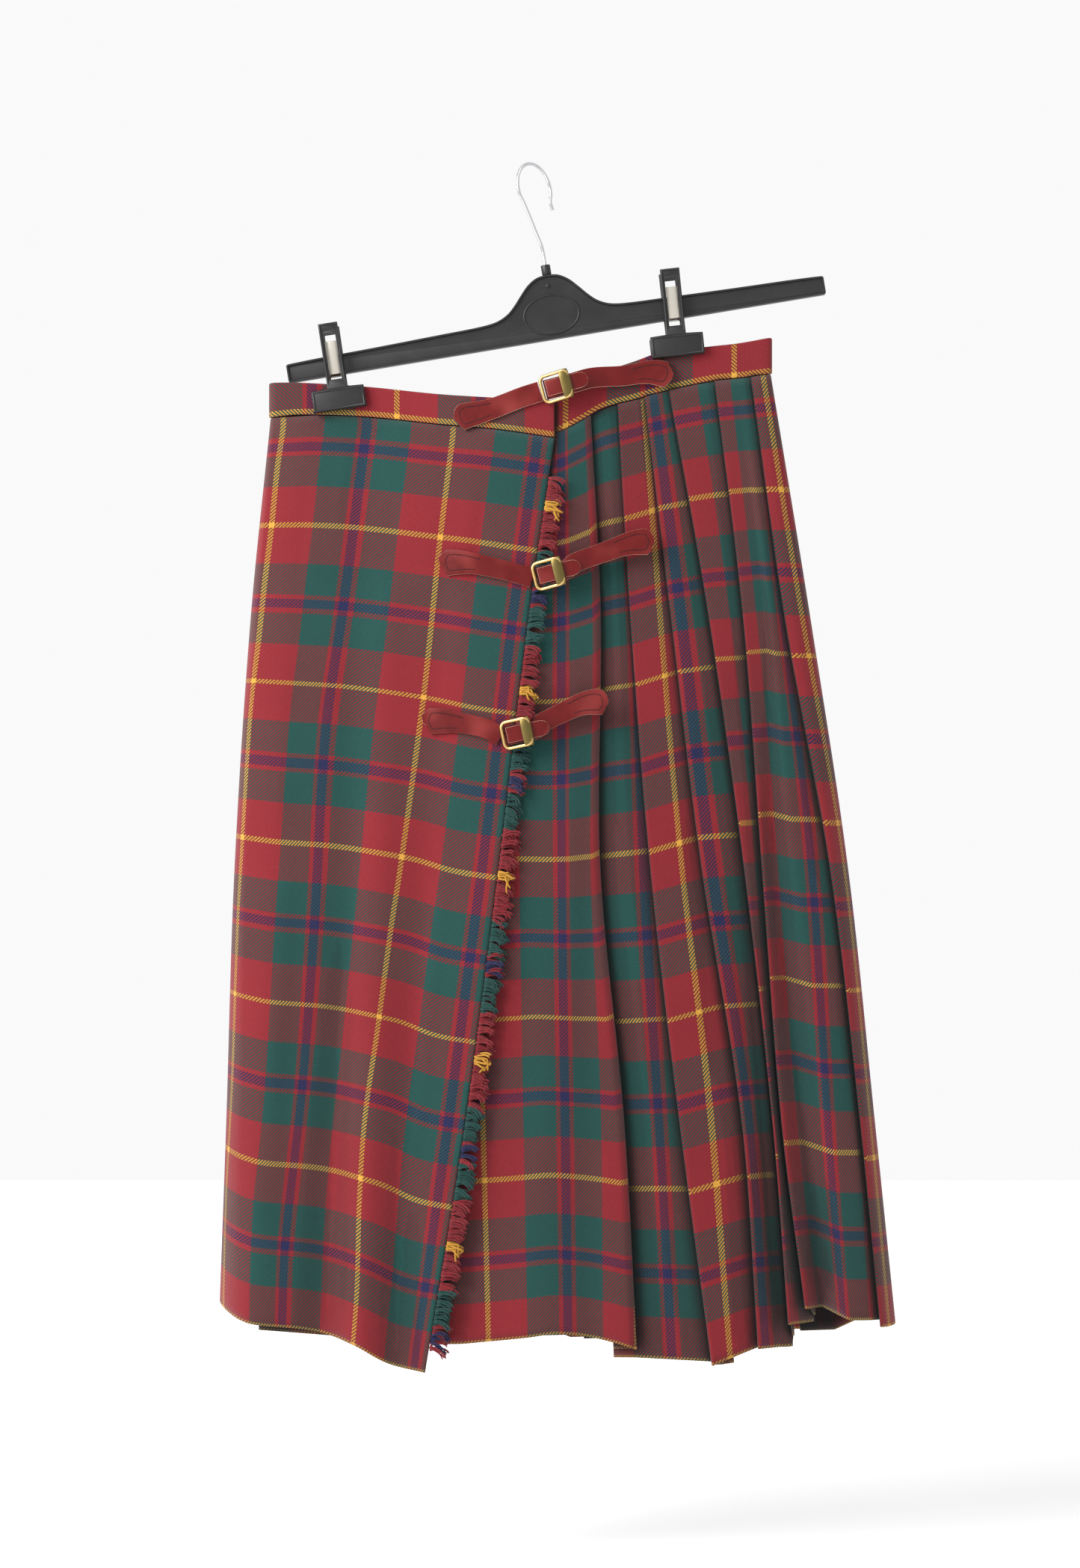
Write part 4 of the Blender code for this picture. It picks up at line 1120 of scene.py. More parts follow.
def fringe_finish():
    yarn = Finish("fringe yarn", Roughness=0.9, Sheen_Weight=0.15, Specular_IOR_Level=0.2)
    row = yarn.node("ShaderNodeAttribute", {"attribute_name": "row"}, {}, output=2)
    along = row.maths("PINGPONG", 0.5) * 2.0
    wide_yellow = (SETT[0], (0.05, RED)) + SETT[2:]
    colour = yarn.node("ShaderNodeValToRGB", {"stops": wide_yellow}, {"Fac": along})
    shade = 0.34 + 0.56 * yarn.noise(700.0, 3.0, 0.6)
    tint = yarn.node("ShaderNodeCombineColor", {}, {0: shade, 1: shade, 2: shade})
    yarn.feed("Base Color", yarn.blend(1.0, colour, tint, "MULTIPLY"))
    yarn.bump(yarn.noise(2200.0, 2.0, 0.7), 0.0002, 0.7)
    return yarn


def leather_finish():
    hide = Finish("strap leather", Coat_Weight=0.1, Coat_Roughness=0.2, Specular_IOR_Level=0.2)
    pores = hide.noise(1500.0, 3.0, 0.6)
    wear = hide.noise(90.0, 3.0, 0.6)
    # Painted sheen: pale pinkish patches blended into the base colour stand in for glare on the glossy
    # leather.
    painted_sheen = (hide.noise(38.0, 1.0, 0.4) * 4.0 - 1.9).maths("MINIMUM", 1.0).maths("MAXIMUM", 0.0)
    dyed = hide.blend(wear, srgb(66, 3, 3), srgb(96, 9, 8))
    hide.feed("Base Color", hide.blend(painted_sheen * 0.3, dyed, srgb(156, 66, 62)))
    hide.feed("Roughness", 0.26 + 0.22 * wear)
    hide.bump(pores + 0.5 * wear, 0.00012, 0.5)
    return hide


def leather_edge_finish():
    edge = Finish("cut leather edge", Specular_IOR_Level=0.2)
    fibres = edge.noise(1800.0, 3.0, 0.7)
    edge.feed("Base Color", edge.blend(fibres, srgb(176, 118, 92), srgb(230, 190, 165)))
    edge.feed("Roughness", 0.7 + 0.2 * fibres)
    edge.bump(fibres, 0.0001, 0.5)
    return edge


def metal_finish(name, colour, roughness, mottle):
    metal = Finish(name, Metallic=1.0)
    worn = metal.noise(180.0, 4.0, 0.6)
    dark = tuple(part * 0.55 for part in colour[:3]) + (1.0,)
    metal.feed("Base Color", metal.blend(worn * mottle, colour, dark))
    metal.feed("Roughness", roughness + 0.25 * mottle * worn)
    metal.bump(metal.noise(2600.0, 2.0, 0.6), 0.00004, 0.4)
    return metal


def plastic_finish():
    plastic = Finish("charcoal plastic", Specular_IOR_Level=0.4)
    grain = plastic.noise(1600.0, 2.0, 0.6)
    scuff = plastic.noise(60.0, 5.0, 0.7)
    plastic.feed("Base Color", plastic.blend(scuff, srgb(13, 12, 13), srgb(30, 28, 28)))
    plastic.feed("Roughness", 0.34 + 0.2 * scuff)
    plastic.bump(grain, 0.00006, 0.4)
    return plastic


def thread_finish(name, colour):
    thread = Finish(name, Roughness=0.75, Specular_IOR_Level=0.3)
    strand = thread.noise(2400.0, 2.0, 0.6)
    thread.feed("Base Color", thread.blend(strand, colour, tuple(c * 0.6 for c in colour[:3]) + (1.0,)))
    thread.bump(strand, 0.0001, 0.5)
    return thread


def row_tree():
    """Geometry Nodes that set copies of a piece along a path, each turned a little at random."""
    tree = bpy.data.node_groups.new("pieces along a path", "GeometryNodeTree")
    inputs = (("Path", "NodeSocketGeometry", None), ("Piece", "NodeSocketObject", None),
              ("Spacing", "NodeSocketFloat", 0.002), ("Follow", "NodeSocketBool", False),
              ("Least turn", "NodeSocketVector", (0, 0, 0)),
              ("Most turn", "NodeSocketVector", (0, 0, 0)),
              ("Least size", "NodeSocketFloat", 1.0), ("Most size", "NodeSocketFloat", 1.0),
              ("Row start", "NodeSocketFloat", 0.0), ("Row length", "NodeSocketFloat", 1.0),
              ("Seed", "NodeSocketInt", 1), ("Finish", "NodeSocketMaterial", None))
    for name, kind, default in inputs:
        socket = tree.interface.new_socket(name, in_out="INPUT", socket_type=kind)
        if default is not None:
            socket.default_value = default
    tree.interface.new_socket("Rows", in_out="OUTPUT", socket_type="NodeSocketGeometry")
    given = tree.nodes.new("NodeGroupInput")
    result = tree.nodes.new("NodeGroupOutput")

    def add(kind, settings, sockets):
        made = tree.nodes.new(kind)
        for name, value in settings.items():
            setattr(made, name, value)
        for name, value in sockets.items():
            if isinstance(value, bpy.types.NodeSocket):
                tree.links.new(value, made.inputs[name])
            else:
                made.inputs[name].default_value = value
        return made

    curve = add("GeometryNodeMeshToCurve", {}, {"Mesh": given.outputs["Path"]})
    spaced = add("GeometryNodeResampleCurve", {"mode": "LENGTH"},
                 {"Curve": curve.outputs[0], "Length": given.outputs["Spacing"]})
    tangent = add("GeometryNodeInputTangent", {}, {})
    lined = add("FunctionNodeAlignRotationToVector", {"axis": "X"}, {"Vector": tangent.outputs[0]})
    facing = add("GeometryNodeSwitch", {"input_type": "ROTATION"},
                 {"Switch": given.outputs["Follow"], "True": lined.outputs[0]})
    turn = add("FunctionNodeRandomValue", {"data_type": "FLOAT_VECTOR"},
               {0: given.outputs["Least turn"], 1: given.outputs["Most turn"],
                "Seed": given.outputs["Seed"]})
    by = add("FunctionNodeEulerToRotation", {}, {"Euler": turn.outputs[0]})
    rotation = add("FunctionNodeRotateRotation", {"rotation_space": "LOCAL"},
                   {"Rotation": facing.outputs[0], "Rotate By": by.outputs[0]})
    size = add("FunctionNodeRandomValue", {"data_type": "FLOAT"},
               {2: given.outputs["Least size"], 3: given.outputs["Most size"],
                "Seed": given.outputs["Seed"]})
    piece = add("GeometryNodeObjectInfo", {}, {"Object": given.outputs["Piece"]})
    copies = add("GeometryNodeInstanceOnPoints", {},
                 {"Points": spaced.outputs[0], "Instance": piece.outputs["Geometry"],
                  "Rotation": rotation.outputs[0], "Scale": size.outputs[1]})
    place = add("GeometryNodeInputPosition", {}, {})
    parts = add("ShaderNodeSeparateXYZ", {}, {0: place.outputs[0]})
    below = add("ShaderNodeMath", {"operation": "SUBTRACT"},
                {0: given.outputs["Row start"], 1: parts.outputs[2]})
    counted = add("ShaderNodeMath", {"operation": "DIVIDE"},
                  {0: below.outputs[0], 1: given.outputs["Row length"]})
    named = add("GeometryNodeStoreNamedAttribute", {"data_type": "FLOAT", "domain": "INSTANCE"},
                {"Geometry": copies.outputs[0], "Name": "row", "Value": counted.outputs[0]})
    real = add("GeometryNodeRealizeInstances", {}, {"Geometry": named.outputs[0]})
    dressed = add("GeometryNodeSetMaterial", {},
                  {"Geometry": real.outputs[0], "Material": given.outputs["Finish"]})
    tree.links.new(dressed.outputs[0], result.inputs[0])
    return tree


def laid_along(name, points, piece, finish, **settings):
    """A plain mesh of the piece's copies along a path of points."""
    wires = bpy.data.meshes.new(name + "_path")
    wires.from_pydata(points, [(i, i + 1) for i in range(len(points) - 1)], [])
    path = bpy.data.objects.new(name + "_path", wires)
    bpy.context.scene.collection.objects.link(path)
    rows = path.modifiers.new("rows", "NODES")
    rows.node_group = ROW_TREE
    values = {"Piece": piece, "Finish": finish.material}
    values.update({key.replace("_", " "): value for key, value in settings.items()})
    for item in ROW_TREE.interface.items_tree:
        if item.in_out == "INPUT" and item.name in values:
            rows[item.identifier] = values[item.name]
    bpy.context.view_layer.update()
    evaluated = path.evaluated_get(bpy.context.evaluated_depsgraph_get())
    mesh = bpy.data.meshes.new_from_object(evaluated)
    bpy.data.objects.remove(path, do_unlink=True)
    mesh.name = name
    mesh.materials.clear()
    mesh.materials.append(finish.material)
    made = bpy.data.objects.new(name, mesh)
    bpy.context.scene.collection.objects.link(made)
    return made


def tube_mesh(name, lines, radius_of, sides):
    """Round strands along lines of points, closed at both ends, as one mesh."""
    bm = bmesh.new()
    for line in lines:
        rings = []
        for index, point in enumerate(line):
            ahead = line[min(index + 1, len(line) - 1)]
            behind = line[max(index - 1, 0)]
            along = (ahead - behind).normalized()
            side = along.cross(Vector((0.3, 1.0, 0.2))).normalized()
            up = along.cross(side)
            radius = radius_of(index / (len(line) - 1))
            ring = []
            for step in range(sides):
                turn = 2 * math.pi * step / sides
                ring.append(bm.verts.new(point + (side * math.cos(turn) + up * math.sin(turn)) * radius))
            rings.append(ring)
        for first, second in zip(rings, rings[1:]):
            for step in range(sides):
                after = (step + 1) % sides
                bm.faces.new((first[step], first[after], second[after], second[step]))
        bm.faces.new(list(reversed(rings[0])))
        bm.faces.new(rings[-1])
    bmesh.ops.recalc_face_normals(bm, faces=bm.faces[:])
    mesh = bpy.data.meshes.new(name)
    bm.to_mesh(mesh)
    bm.free()
    mesh.shade_smooth()
    return mesh


def hidden_piece(name, mesh):
    """A piece that is only copied from: it is removed once its copies are made."""
    made = bpy.data.objects.new(name, mesh)
    bpy.context.scene.collection.objects.link(made)
    return made


def make_fringe():
    strands = []
    for strand in range(TUFT_STRANDS):
        phase = strand * 2.1
        line = []
        for step in range(6):
            part = step / 5
            swing = 0.5 * math.sin(phase + 4.5 * part)
            line.append(Vector(((TUFT_REACH * math.sin(part * 1.45)) * (0.84 + 0.06 * strand),
                                -0.5 - 0.7 * part + 0.45 * math.cos(phase + 4.5 * part),
                                0.45 * (strand - 1.5) - TUFT_DROOP * part ** 2.0 + swing)) * MM)
        strands.append(line)
    tuft = hidden_piece("tuft", tube_mesh("tuft", strands, lambda part: mix(TUFT_YARN, part) * MM, 5))
    path = []
    for step in range(241):
        share = mix((FRINGE_TOP, FRINGE_HEM), step / 240)
        height = mix((band_edge(BAND_OVER, APRON_EDGE[0], 1), -865), share)
        x = apron_edge(share)
        path.append(put(x + SEAM + 0.2, over_y(x, share), height))
    made = laid_along("fringe_yarns", path, tuft, FRINGE_YARN, Spacing=FRINGE_STEP * MM, Follow=False,
                      Least_turn=(-0.35, -0.5, -0.25), Most_turn=(0.35, 0.45, 0.3),
                      Least_size=0.72, Most_size=1.12, Row_start=-FRINGE_YELLOW * MM,
                      Row_length=FRINGE_REPEAT * MM, Seed=7)
    bpy.data.objects.remove(tuft, do_unlink=True)
    make_yellow_loops()
    return settle(made, "fringe_yarn", "fringe")


def make_yellow_loops():
    """Thick curly ends of the yellow yarns, one bundle at each yellow line."""
    top = band_edge(BAND_OVER, APRON_EDGE[0], 1)
    dice = random.Random(5)
    loops = []
    for bundle in range(BUNDLES):
        for strand in range(BUNDLE_STRANDS):
            height = -FRINGE_YELLOW - FRINGE_REPEAT * bundle + 1.5 * (strand - BUNDLE_STRANDS / 2)
            share = (top - height) / (top + 865)
            x, y = apron_edge(share), over_y(apron_edge(share), share)
            out = dice.uniform(*BUNDLE_OUT)
            drop = dice.uniform(*BUNDLE_DROP)
            curl = dice.uniform(*BUNDLE_CURL)
            phase = dice.uniform(0.0, 6.0)
            line = []
            for step in range(BUNDLE_STEPS + 1):
                part = step / BUNDLE_STEPS
                swing = 7.0 * part + phase
                away = out * math.sin(2.2 * part) + curl * part * math.cos(swing)
                line.append(put(x + SEAM + 1.0 + away,
                                y - 1.6 - 1.6 * math.sin(math.pi * part) + 0.6 * math.sin(swing),
                                height - drop * part * part + curl * part * math.sin(swing)))
            loops.append(line)
    mesh = tube_mesh("fringe_yellow_loops", loops, lambda part: mix(BUNDLE_YARN, part) * MM, 6)
    return settle(add_object("fringe_yellow_loops", mesh, YELLOW_YARN), "fringe_yarn")


def bar_point(along, up):
    """A place in the hanger's plane, from its own tilted axes."""
    x = BAR_ORIGIN[0] + along * math.cos(TILT) - up * math.sin(TILT)
    z = BAR_ORIGIN[1] + along * math.sin(TILT) + up * math.cos(TILT)
    return x, z


def make_bar():
    """The bar: a moulded plate with a raised rim round both faces."""
    half_top = [(along, through(BAR_TOP, along)) for along in
                [step * 2.0 for step in range(30)] + list(range(60, 190, 10)) + [190.0]]
    half_top += BAR_END
    outline = list(reversed(half_top)) + [(-along, up) for along, up in half_top[1:]]
    outline += [(-along, up) for along, up in BAR_FOOT] + list(reversed(BAR_FOOT))
    bm = bmesh.new()
    faces = []
    layers = []
    for y in (-BAR_THICK / 2, BAR_THICK / 2):
        layer = []
        for along, up in outline:
            x, z = bar_point(along, up)
            layer.append(bm.verts.new(put(x, y, z)))
        layers.append(layer)
        faces.append(bm.faces.new(layer))
    for index in range(len(outline)):
        after = (index + 1) % len(outline)
        bm.faces.new((layers[0][index], layers[0][after], layers[1][after], layers[1][index]))
    bmesh.ops.recalc_face_normals(bm, faces=bm.faces[:])
    bmesh.ops.inset_individual(bm, faces=faces, thickness=BAR_RIM * 0.7 * MM, depth=0.0,
                               use_even_offset=True)
    bmesh.ops.inset_individual(bm, faces=faces, thickness=BAR_RIM * 0.3 * MM, depth=-BAR_RECESS * MM,
                               use_even_offset=True)
    mesh = bpy.data.meshes.new("hanger_bar_moulded")
    bm.to_mesh(mesh)
    bm.free()
    made = add_object("hanger_bar_moulded", mesh, PLASTIC)
    round_edges(made, 0.45, 3, 30)
    mesh.shade_smooth()
    for side in (-1, 1):
        face = side * (BAR_THICK / 2 - BAR_RECESS)
        ring = []
        for step in range(72):
            turn = math.radians(5 * step)
            x, z = bar_point(OVAL[0] + OVAL[2] * math.cos(turn), OVAL[1] + OVAL[3] * math.sin(turn))
            ring.append(put(x, face, z))
        name = "hanger_bar_oval_" + ("rear" if side > 0 else "front")
        settle(tube(name, ring, OVAL_WIRE, PLASTIC, 3, cyclic=True), "hanger_plastic")
    x, z = bar_point(*BOSS)
    boss = [put(x, BAR_RECESS - BAR_THICK / 2 + out, z) for out in (0.6, -0.7, -1.0)]
    mesh = tube_mesh("hanger_bar_boss", [boss], lambda part: (1.6 if part < 0.9 else 1.2) * MM, 20)
    settle(add_object("hanger_bar_boss", mesh, PLASTIC), "hanger_plastic")
    return settle(made, "hanger_plastic", "hanger_bar")


def hook_point(across, up):
    """A place in the hook's own plane, which is swivelled about the tilted stem."""
    x, z = bar_point(across * math.cos(SWIVEL), up)
    return put(x, across * math.sin(SWIVEL), z)


def tube(name, points, radius, finish, resolution=4, cyclic=False):
    curve = bpy.data.curves.new(name, "CURVE")
    curve.dimensions = "3D"
    spline = curve.splines.new("POLY")
    spline.points.add(len(points) - 1)
    for slot, point in zip(spline.points, points):
        slot.co = (*point, 1.0)
    spline.use_cyclic_u = cyclic
    curve.bevel_depth = radius * MM
    curve.bevel_resolution = resolution
    curve.use_fill_caps = not cyclic
    guide = bpy.data.objects.new(name + "_line", curve)
    bpy.context.scene.collection.objects.link(guide)
    bpy.context.view_layer.update()
    mesh = bpy.data.meshes.new_from_object(guide.evaluated_get(bpy.context.evaluated_depsgraph_get()))
    bpy.data.objects.remove(guide, do_unlink=True)
    bm = bmesh.new()
    bm.from_mesh(mesh)
    bmesh.ops.remove_doubles(bm, verts=bm.verts, dist=1e-6)
    bm.to_mesh(mesh)
    bm.free()
    mesh.name = name
    made = add_object(name, mesh, finish)
    mesh.shade_smooth()
    mesh.set_sharp_from_angle(angle=math.radians(50))
    return made


def smooth_line(points, steps):
    """Points of a smooth curve through the given ones, with so many steps between each two."""
    line = []
    size = len(points[0])
    for index in range((len(points) - 1) * steps + 1):
        at = index / steps
        line.append(tuple(through([(i, p[axis]) for i, p in enumerate(points)], at)
                          for axis in range(size)))
    return line


def make_hook():
    foot = BAR_TOP[0][1] + COLLAR_HEIGHT + 2 * SEAM
    points = [(across, foot + up) for across, up in HOOK_STEM]
    for step in range(LOOP_STEPS + 1):
        turn = math.radians(LOOP_START) - math.radians(LOOP_TURN) * step / LOOP_STEPS
        points.append((LOOP_ACROSS + LOOP_RADIUS * math.cos(turn), LOOP_UP + LOOP_RADIUS * math.sin(turn)))
    points.append((points[-1][0] + LOOP_TIP[0], points[-1][1] + LOOP_TIP[1]))
    line = [hook_point(*point) for point in smooth_line(points, 4)]
    return settle(tube("hanger_hook_wire", line, WIRE / 2, STEEL, 5), "hook_steel", "hanger_hook")


def finer(node, name, finish, slot, width, segments=2):
    """A CAD node's own form with its edges moulded round."""
    bm = bmesh.new()
    bm.from_mesh(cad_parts[node].data)
    bmesh.ops.remove_doubles(bm, verts=bm.verts, dist=1e-6)
    bmesh.ops.dissolve_limit(bm, angle_limit=math.radians(1), verts=bm.verts, edges=bm.edges)
    mesh = bpy.data.meshes.new(name)
    bm.to_mesh(mesh)
    bm.free()
    made = add_object(name, mesh, finish)
    round_edges(made, width, segments, 30)
    mesh.shade_smooth()
    return settle(made, slot, node)


def make_clip_rims(side, middle, lean, jaw_face, lever_face):
    """Raised rims on a clip's front: round the jaw, and up the lever's sides and across its end."""
    def place(across, y, up):
        x = middle[0] + across * math.cos(lean) - up * math.sin(lean)
        z = middle[1] + across * math.sin(lean) + up * math.cos(lean)
        return put(x, y, z)

    wide, tall = JAW_RIM
    jaw = [place(across, jaw_face, up) for across, up in
           ((-wide, -tall), (wide, -tall), (wide, tall), (-wide, tall))]
    settle(tube("clip_" + side + "_jaw_rim", jaw, CLIP_RIM, PLASTIC, 2, cyclic=True), "hanger_plastic")
    lever = [place(LEVER_RIM, face, up) for up, face in
             ((LEVER_KNEE - 4, lever_face), (LEVER_KNEE, lever_face), LEVER_HIGH, LEVER_END)]
    lever += [place(-LEVER_RIM, face, up) for up, face in
              (LEVER_END, LEVER_HIGH, (LEVER_KNEE, lever_face), (LEVER_KNEE - 4, lever_face))]
    settle(tube("clip_" + side + "_lever_rim", lever, CLIP_RIM, PLASTIC, 2), "hanger_plastic")


def apron_share(x, z):
    """The share of the way down the over apron at which its cloth passes a height."""
    share = 0.3
    for _ in range(4):
        left, right = side_x("left", share), apron_edge(share)
        across = min(1.0, (x - left) / (right - left))
        top = band_edge(BAND_OVER, mix((SIDE_LEFT[0], APRON_EDGE[0]), across), 1)
        hem = through(HEM_OVER, mix((SIDE_LEFT[-1], APRON_EDGE[-1]), across))
        share = min(1.0, max(0.0, (top - z) / (top - hem)))
    return share


def strap_y(x, z, lift):
    """Front face of the cloth under a strap, moved out by the lift."""
    if z > -190:
        return -(BAND_OVER_Y + SAG_FRONT * sag(x)) - 1.5 - lift
    faces = []
    for height in (z - TAB_WIDE / 2, z, z + TAB_WIDE / 2):
        share = apron_share(x, height)
        faces.append(over_y(min(x, apron_edge(share)), share))
    return min(faces) - 0.7 - lift


def along_line(rows, distance):
    """A place on a line of close points, at a distance from its start, and the way up across it."""
    gone = 0.0
    for here, after in zip(rows, rows[1:]):
        step = math.dist(here, after)
        if gone + step >= distance:
            break
        gone += step
    else:
        gone -= step
    place = tuple(mix(pair, (distance - gone) / step) for pair in zip(here, after))
    rise = Vector((here[2] - after[2], after[0] - here[0])).normalized()
    return place, (rise if rise.y > 0 else -rise)


def half_width(outline, distance, side):
    """Half the width of a strap above its middle line, or below it for a negative side."""
    knots = [(row[0], row[1 if side >= 0 else 2]) for row in outline]
    return straight(knots, min(distance, knots[-1][0]))


def ribbon(name, line, outline, node):
    """A leather strap from its shaped end on, with red faces and pale cut edges."""
    rows = smooth_line(line, LINE_STEPS)
    total = sum(math.dist(here, after) for here, after in zip(rows, rows[1:]))
    shaped = [row[0] for row in outline if row[0] < STRAP_SHAPED]
    count = round((total - STRAP_SHAPED) / 2.5)
    stops = shaped + [mix((STRAP_SHAPED, total), index / count) for index in range(count + 1)]
    cuts = 8
    columns = []
    for stop in stops:
        (x, y, z), rise = along_line(rows, stop)
        halves = half_width(outline, stop, 1), -half_width(outline, stop, -1)
        column = []
        for cut in range(cuts + 1):
            off = mix(halves, cut / cuts)
            column.append((put(x + rise.x * off, y, z + rise.y * off), stop / 100, off / 100))
        columns.append(column)
    made = add_object(name, grid_mesh(name, columns), LEATHER_FACE, LEATHER_EDGE)
    thicken(made, LEATHER, rim=1)
    round_edges(made, PALE_EDGE, 2, 50, trim=1)
    return settle(made, "strap_leather", node)


def make_stitches(name, line, outline):
    """A row of stitches round a sewn tab, inset from its outline."""
    rows = smooth_line(line, LINE_STEPS)
    spots = [(away, 1) for away in range(STITCH_RUN, STITCH_TURN, -2)]
    spots += [(STITCH_TURN - before, side) for before, side in STITCH_BEND]
    spots += [(away, -1) for away in range(STITCH_TURN, STITCH_RUN, 2)]
    path = []
    for away, side in spots:
        (x, y, z), rise = along_line(rows, away)
        off = side * (half_width(outline, STITCH_TURN if abs(side) < 1 else away, side) - STITCH_INSET)
        path.append(put(x + rise.x * off, y - LEATHER / 2 - STITCH_PROUD, z + rise.y * off))
    made = laid_along(name, path, STITCH, THREAD, Spacing=STITCH_STEP * MM, Follow=True,
                      Least_turn=(-0.1, -0.05, -0.12), Most_turn=(0.1, 0.05, 0.12),
                      Least_size=0.9, Most_size=1.1, Seed=3)
    return settle(made, "strap_leather")


def make_buckle(name, spot, by, front_y):
    """A frame of round wire, whose right bar is a wide plate arched over the strap's end, mottled with
    wear and painted darker as a reflection of a dark room.
    """
    half, high = BUCKLE_LONG / 2, BUCKLE_HIGH / 2
    ring = []
    for quarter, (sx, sz) in enumerate(((1, 1), (-1, 1), (-1, -1), (1, -1))):
        for step in range(7):
            turn = math.radians(90 * quarter + 15 * step)
            across = sx * (half - BUCKLE_CORNER) + BUCKLE_CORNER * math.cos(turn)
            up = sz * (high - BUCKLE_CORNER) + BUCKLE_CORNER * math.sin(turn)
            part = (across + half) / BUCKLE_LONG
            ring.append(spot(across, mix((by, front_y), part * part * (3 - 2 * part)), up))
    settle(tube("strap_" + name + "_frame", ring, BUCKLE_WIRE / 2, BRASS, 4, cyclic=True),
           "buckle_brass", "strap_" + name + "_buckle")
    columns = []
    for across_step in range(9):
        side = across_step / 4 - 1
        column = []
        for up_step in range(15):
            level = up_step / 7 - 1
            back = PLATE_ARCH * side * side + PLATE_CURL * level ** 4
            wide = PLATE_WIDE / 2 * (1 - PLATE_NARROWS * level ** 4)
            across = half - PLATE_WIDE / 2 + PLATE_OUT + side * wide
            place = spot(across, front_y - PLATE_OUT + back, -level * (high + PLATE_OVER))
            column.append((place, side, level))
        columns.append(column)
    title = "strap_" + name + "_plate"
    plate = add_object(title, grid_mesh(title, columns), BRASS_PAINTED_DARK_REFLECTION)
    thicken(plate, PLATE_THICK)
    round_edges(plate, 0.35, 2, 50)
    settle(plate, "buckle_brass")


def make_strap(name, buckle, lean, width, left_line, right_line):
    bx, bz = buckle
    along = Vector((math.cos(lean), math.sin(lean)))
    lift = SEAM + LEATHER / 2
    half = BUCKLE_LONG / 2
    wire = BUCKLE_WIRE / 2
    by = strap_y(bx, bz, lift + LEATHER / 2 + SEAM + wire)
    prong_y = by - wire - SEAM - PRONG / 2
    inner_y = by + wire + SEAM + LEATHER / 2
    outer_y = prong_y - PRONG / 2 - SEAM - LEATHER / 2

    def beside(offset, y):
        return bx + along.x * offset, y, bz + along.y * offset

    def spot(across, y, up):
        return put(bx + along.x * across - along.y * up, y, bz + along.y * across + along.x * up)

    make_buckle(name, spot, by, outer_y - LEATHER / 2 - SEAM - PLATE_THICK)
    prong = [beside(-half + 3.2, prong_y + 0.4), beside(0, prong_y), beside(half + 0.8, prong_y)]
    settle(tube("strap_" + name + "_pin", [put(*place) for place in prong], PRONG / 2, BRASS, 3),
           "buckle_brass", "strap_" + name + "_prong")

    strap_end = ((STRAP_PLAIN, width / 2 + 0.9, width / 2 + 0.9),)
    line = [(x, strap_y(x, z, lift), z) for x, z in left_line]
    end = beside(-half - wire - SEAM, 0)
    line.append((end[0], strap_y(end[0], end[2], lift), end[2]))
    x, y, z = line[0]
    line.insert(0, (x - 4.0, strap_y(x - 4.0, z, lift), z - 1.0))
    ribbon("strap_" + name + "_sewn_tab", line, TAB_OUTLINE + strap_end, "strap_" + name + "_tab")
    make_stitches("strap_" + name + "_left_stitches", line, TAB_OUTLINE + strap_end)
    shown = [(x, strap_y(x, z, lift), z) for x, z in reversed(right_line)]
    x, y, z = shown[0]
    shown.insert(0, (x + 4.5, y, z + 0.5))
    shown += [beside(half + 3, inner_y), beside(1.9 - half, inner_y)]
    ribbon("strap_" + name + "_band", shown, TAB_OUTLINE + strap_end, "strap_" + name + "_tongue")
    make_stitches("strap_" + name + "_right_stitches", shown, TAB_OUTLINE + strap_end)
    tip_line = [beside(half + past, outer_y + lifted) for past, lifted in TIP_LINE]
    tip_line += [beside(0, outer_y), beside(3.0 - half, outer_y + 0.4)]
    ribbon("strap_" + name + "_end", tip_line, TIP_OUTLINE, "strap_" + name + "_tip")


def make_camera():
    data = bpy.data.cameras.new("front view")
    data.sensor_width = 36.0
    data.lens = data.sensor_width * CAMERA_AWAY / (PHOTO_TALL * PIXEL)
    data.clip_start = 0.05
    data.clip_end = 60.0
    made = bpy.data.objects.new("front view", data)
    bpy.context.scene.collection.objects.link(made)
    made.location = put(FRAME_MIDDLE[0], -CAMERA_AWAY, FRAME_MIDDLE[1])
    made.rotation_euler = (math.radians(90), 0, 0)
    bpy.context.scene.camera = made


def make_light(name, place, aim, size, power):
    data = bpy.data.lights.new(name, "AREA")
    data.shape = "RECTANGLE"
    data.size, data.size_y = size
    data.energy = power
    made = bpy.data.objects.new(name, data)
    bpy.context.scene.collection.objects.link(made)
    made.location = place
    made.rotation_euler = (Vector(aim) - Vector(place)).to_track_quat("-Z", "Y").to_euler()


def make_studio():
    floor_mesh = bpy.data.meshes.new("studio_floor")
    corners = [(x * FLOOR_REACH, y * FLOOR_REACH, FLOOR_LEVEL) for x, y in
               ((-1, -1), (1, -1), (1, 1), (-1, 1))]
    floor_mesh.from_pydata(corners, [], [(0, 1, 2, 3)])
    pale = Finish("pale floor", Roughness=0.9)
    grain = pale.noise(3.0, 2.0, 0.5)
    pale.feed("Base Color", pale.blend(grain, srgb(250, 250, 250), srgb(244, 244, 244)))
    floor = add_object("studio_floor", floor_mesh, pale)
    world = bpy.data.worlds.new("soft white")
    world.use_nodes = True
    world.node_tree.nodes["Background"].inputs[0].default_value = (1.0, 1.0, 1.0, 1.0)
    world.node_tree.nodes["Background"].inputs[1].default_value = ALL_ROUND
    bpy.context.scene.world = world
    for light in LIGHTS:
        make_light(*light)


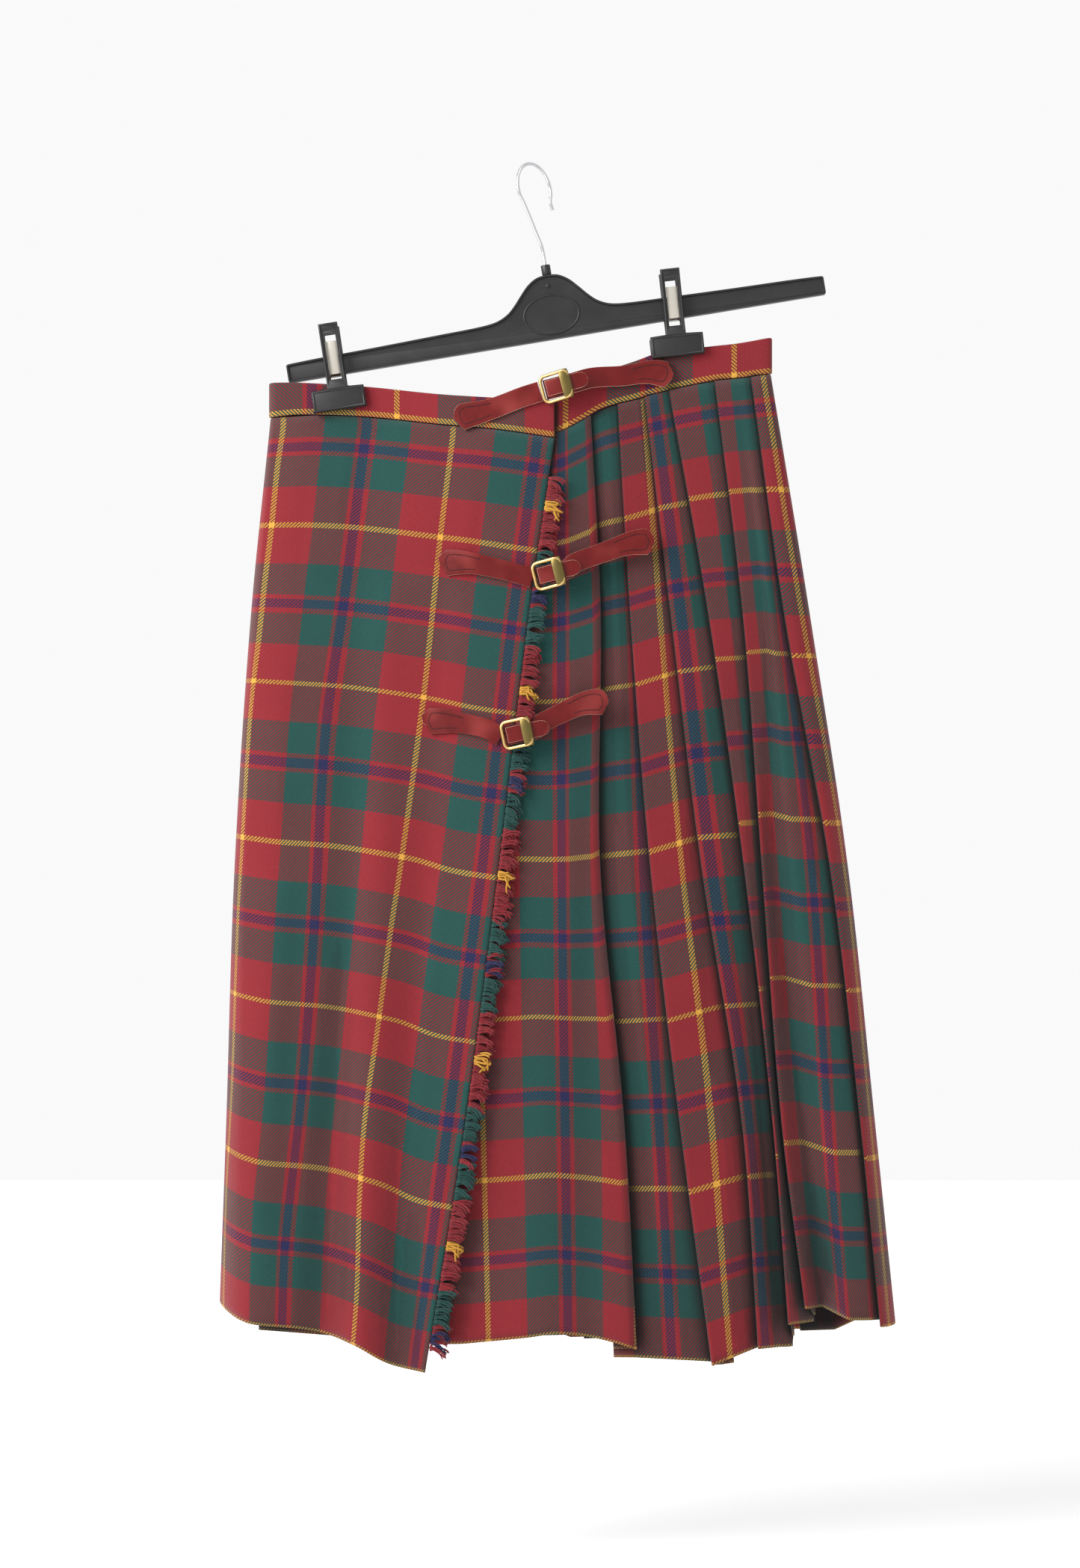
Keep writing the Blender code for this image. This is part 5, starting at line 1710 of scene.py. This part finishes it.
make_camera()
bpy.context.scene.view_settings.view_transform = "Standard"
ROW_TREE = row_tree()
TARTAN = tartan_finish()
FRINGE_YARN = fringe_finish()
LEATHER_FACE = leather_finish()
LEATHER_EDGE = leather_edge_finish()
BRASS = metal_finish("dull brass", srgb(200, 168, 108), 0.28, 0.5)
# Painted reflection: the plate's brass has a darker base colour that stands in for the dark room it
# reflects. Its mottle is wear.
BRASS_PAINTED_DARK_REFLECTION = metal_finish("brass plate with painted dark reflection", srgb(112, 98, 58), 0.36, 0.6)
THREAD = thread_finish("red thread", srgb(52, 4, 8))
YELLOW_YARN = thread_finish("yellow fringe yarn", srgb(172, 124, 40))
stitch_line = [Vector((along, behind, 0)) * MM for along, behind in STITCH_LINE]
stitch_mesh = tube_mesh("stitch", [stitch_line], lambda part: STITCH_THREAD * MM, 6)
STITCH = hidden_piece("stitch", stitch_mesh)
STEEL = metal_finish("bright hook wire", srgb(205, 205, 208), 0.2, 0.25)
NICKEL = metal_finish("satin nickel", srgb(214, 208, 196), 0.32, 0.3)
PLASTIC = plastic_finish()

over = over_apron_columns()
under = under_apron_columns()
front = pleated_front_columns()
back = pleated_back_columns([place[1] for place in front[-1]], [place[1] for place in over[0]])
band = band_tartan(waistband_columns())
over_piece = sheet("over_apron_cloth", over, TARTAN)
under_piece = sheet("under_apron_cloth", under, TARTAN)
front_piece = sheet("pleated_front_cloth", front, TARTAN)
back_piece = sheet("pleated_back_cloth", back, TARTAN)
band_piece = sheet("waistband_cloth", band, TARTAN, BAND)
store_openness([over_piece, under_piece, front_piece, back_piece, band_piece])
round_edges(band_piece, 1.1, 3, 50)
settle(over_piece, "tartan_cloth", "over_apron")
settle(under_piece, "tartan_cloth", "under_apron")
settle(front_piece, "tartan_cloth", "pleated_front")
settle(back_piece, "tartan_cloth", "pleated_back")
settle(band_piece, "tartan_cloth", "waistband")
fringe_piece = make_fringe()
make_bar()
make_hook()
finer("hanger_collar", "hanger_collar_moulded", PLASTIC, "hanger_plastic", 0.4)
for side in ("left", "right"):
    for leg in ("front", "rear"):
        finer("clip_" + side + "_" + leg, "clip_" + side + "_" + leg + "_moulded", PLASTIC,
              "hanger_plastic", 0.5)
    finer("clip_" + side + "_spring", "clip_" + side + "_spring_strip", NICKEL, "spring_steel", 0.15)
for clip in CLIPS:
    make_clip_rims(*clip)
for strap in STRAPS:
    make_strap(*strap)
bpy.data.objects.remove(STITCH, do_unlink=True)

make_studio()
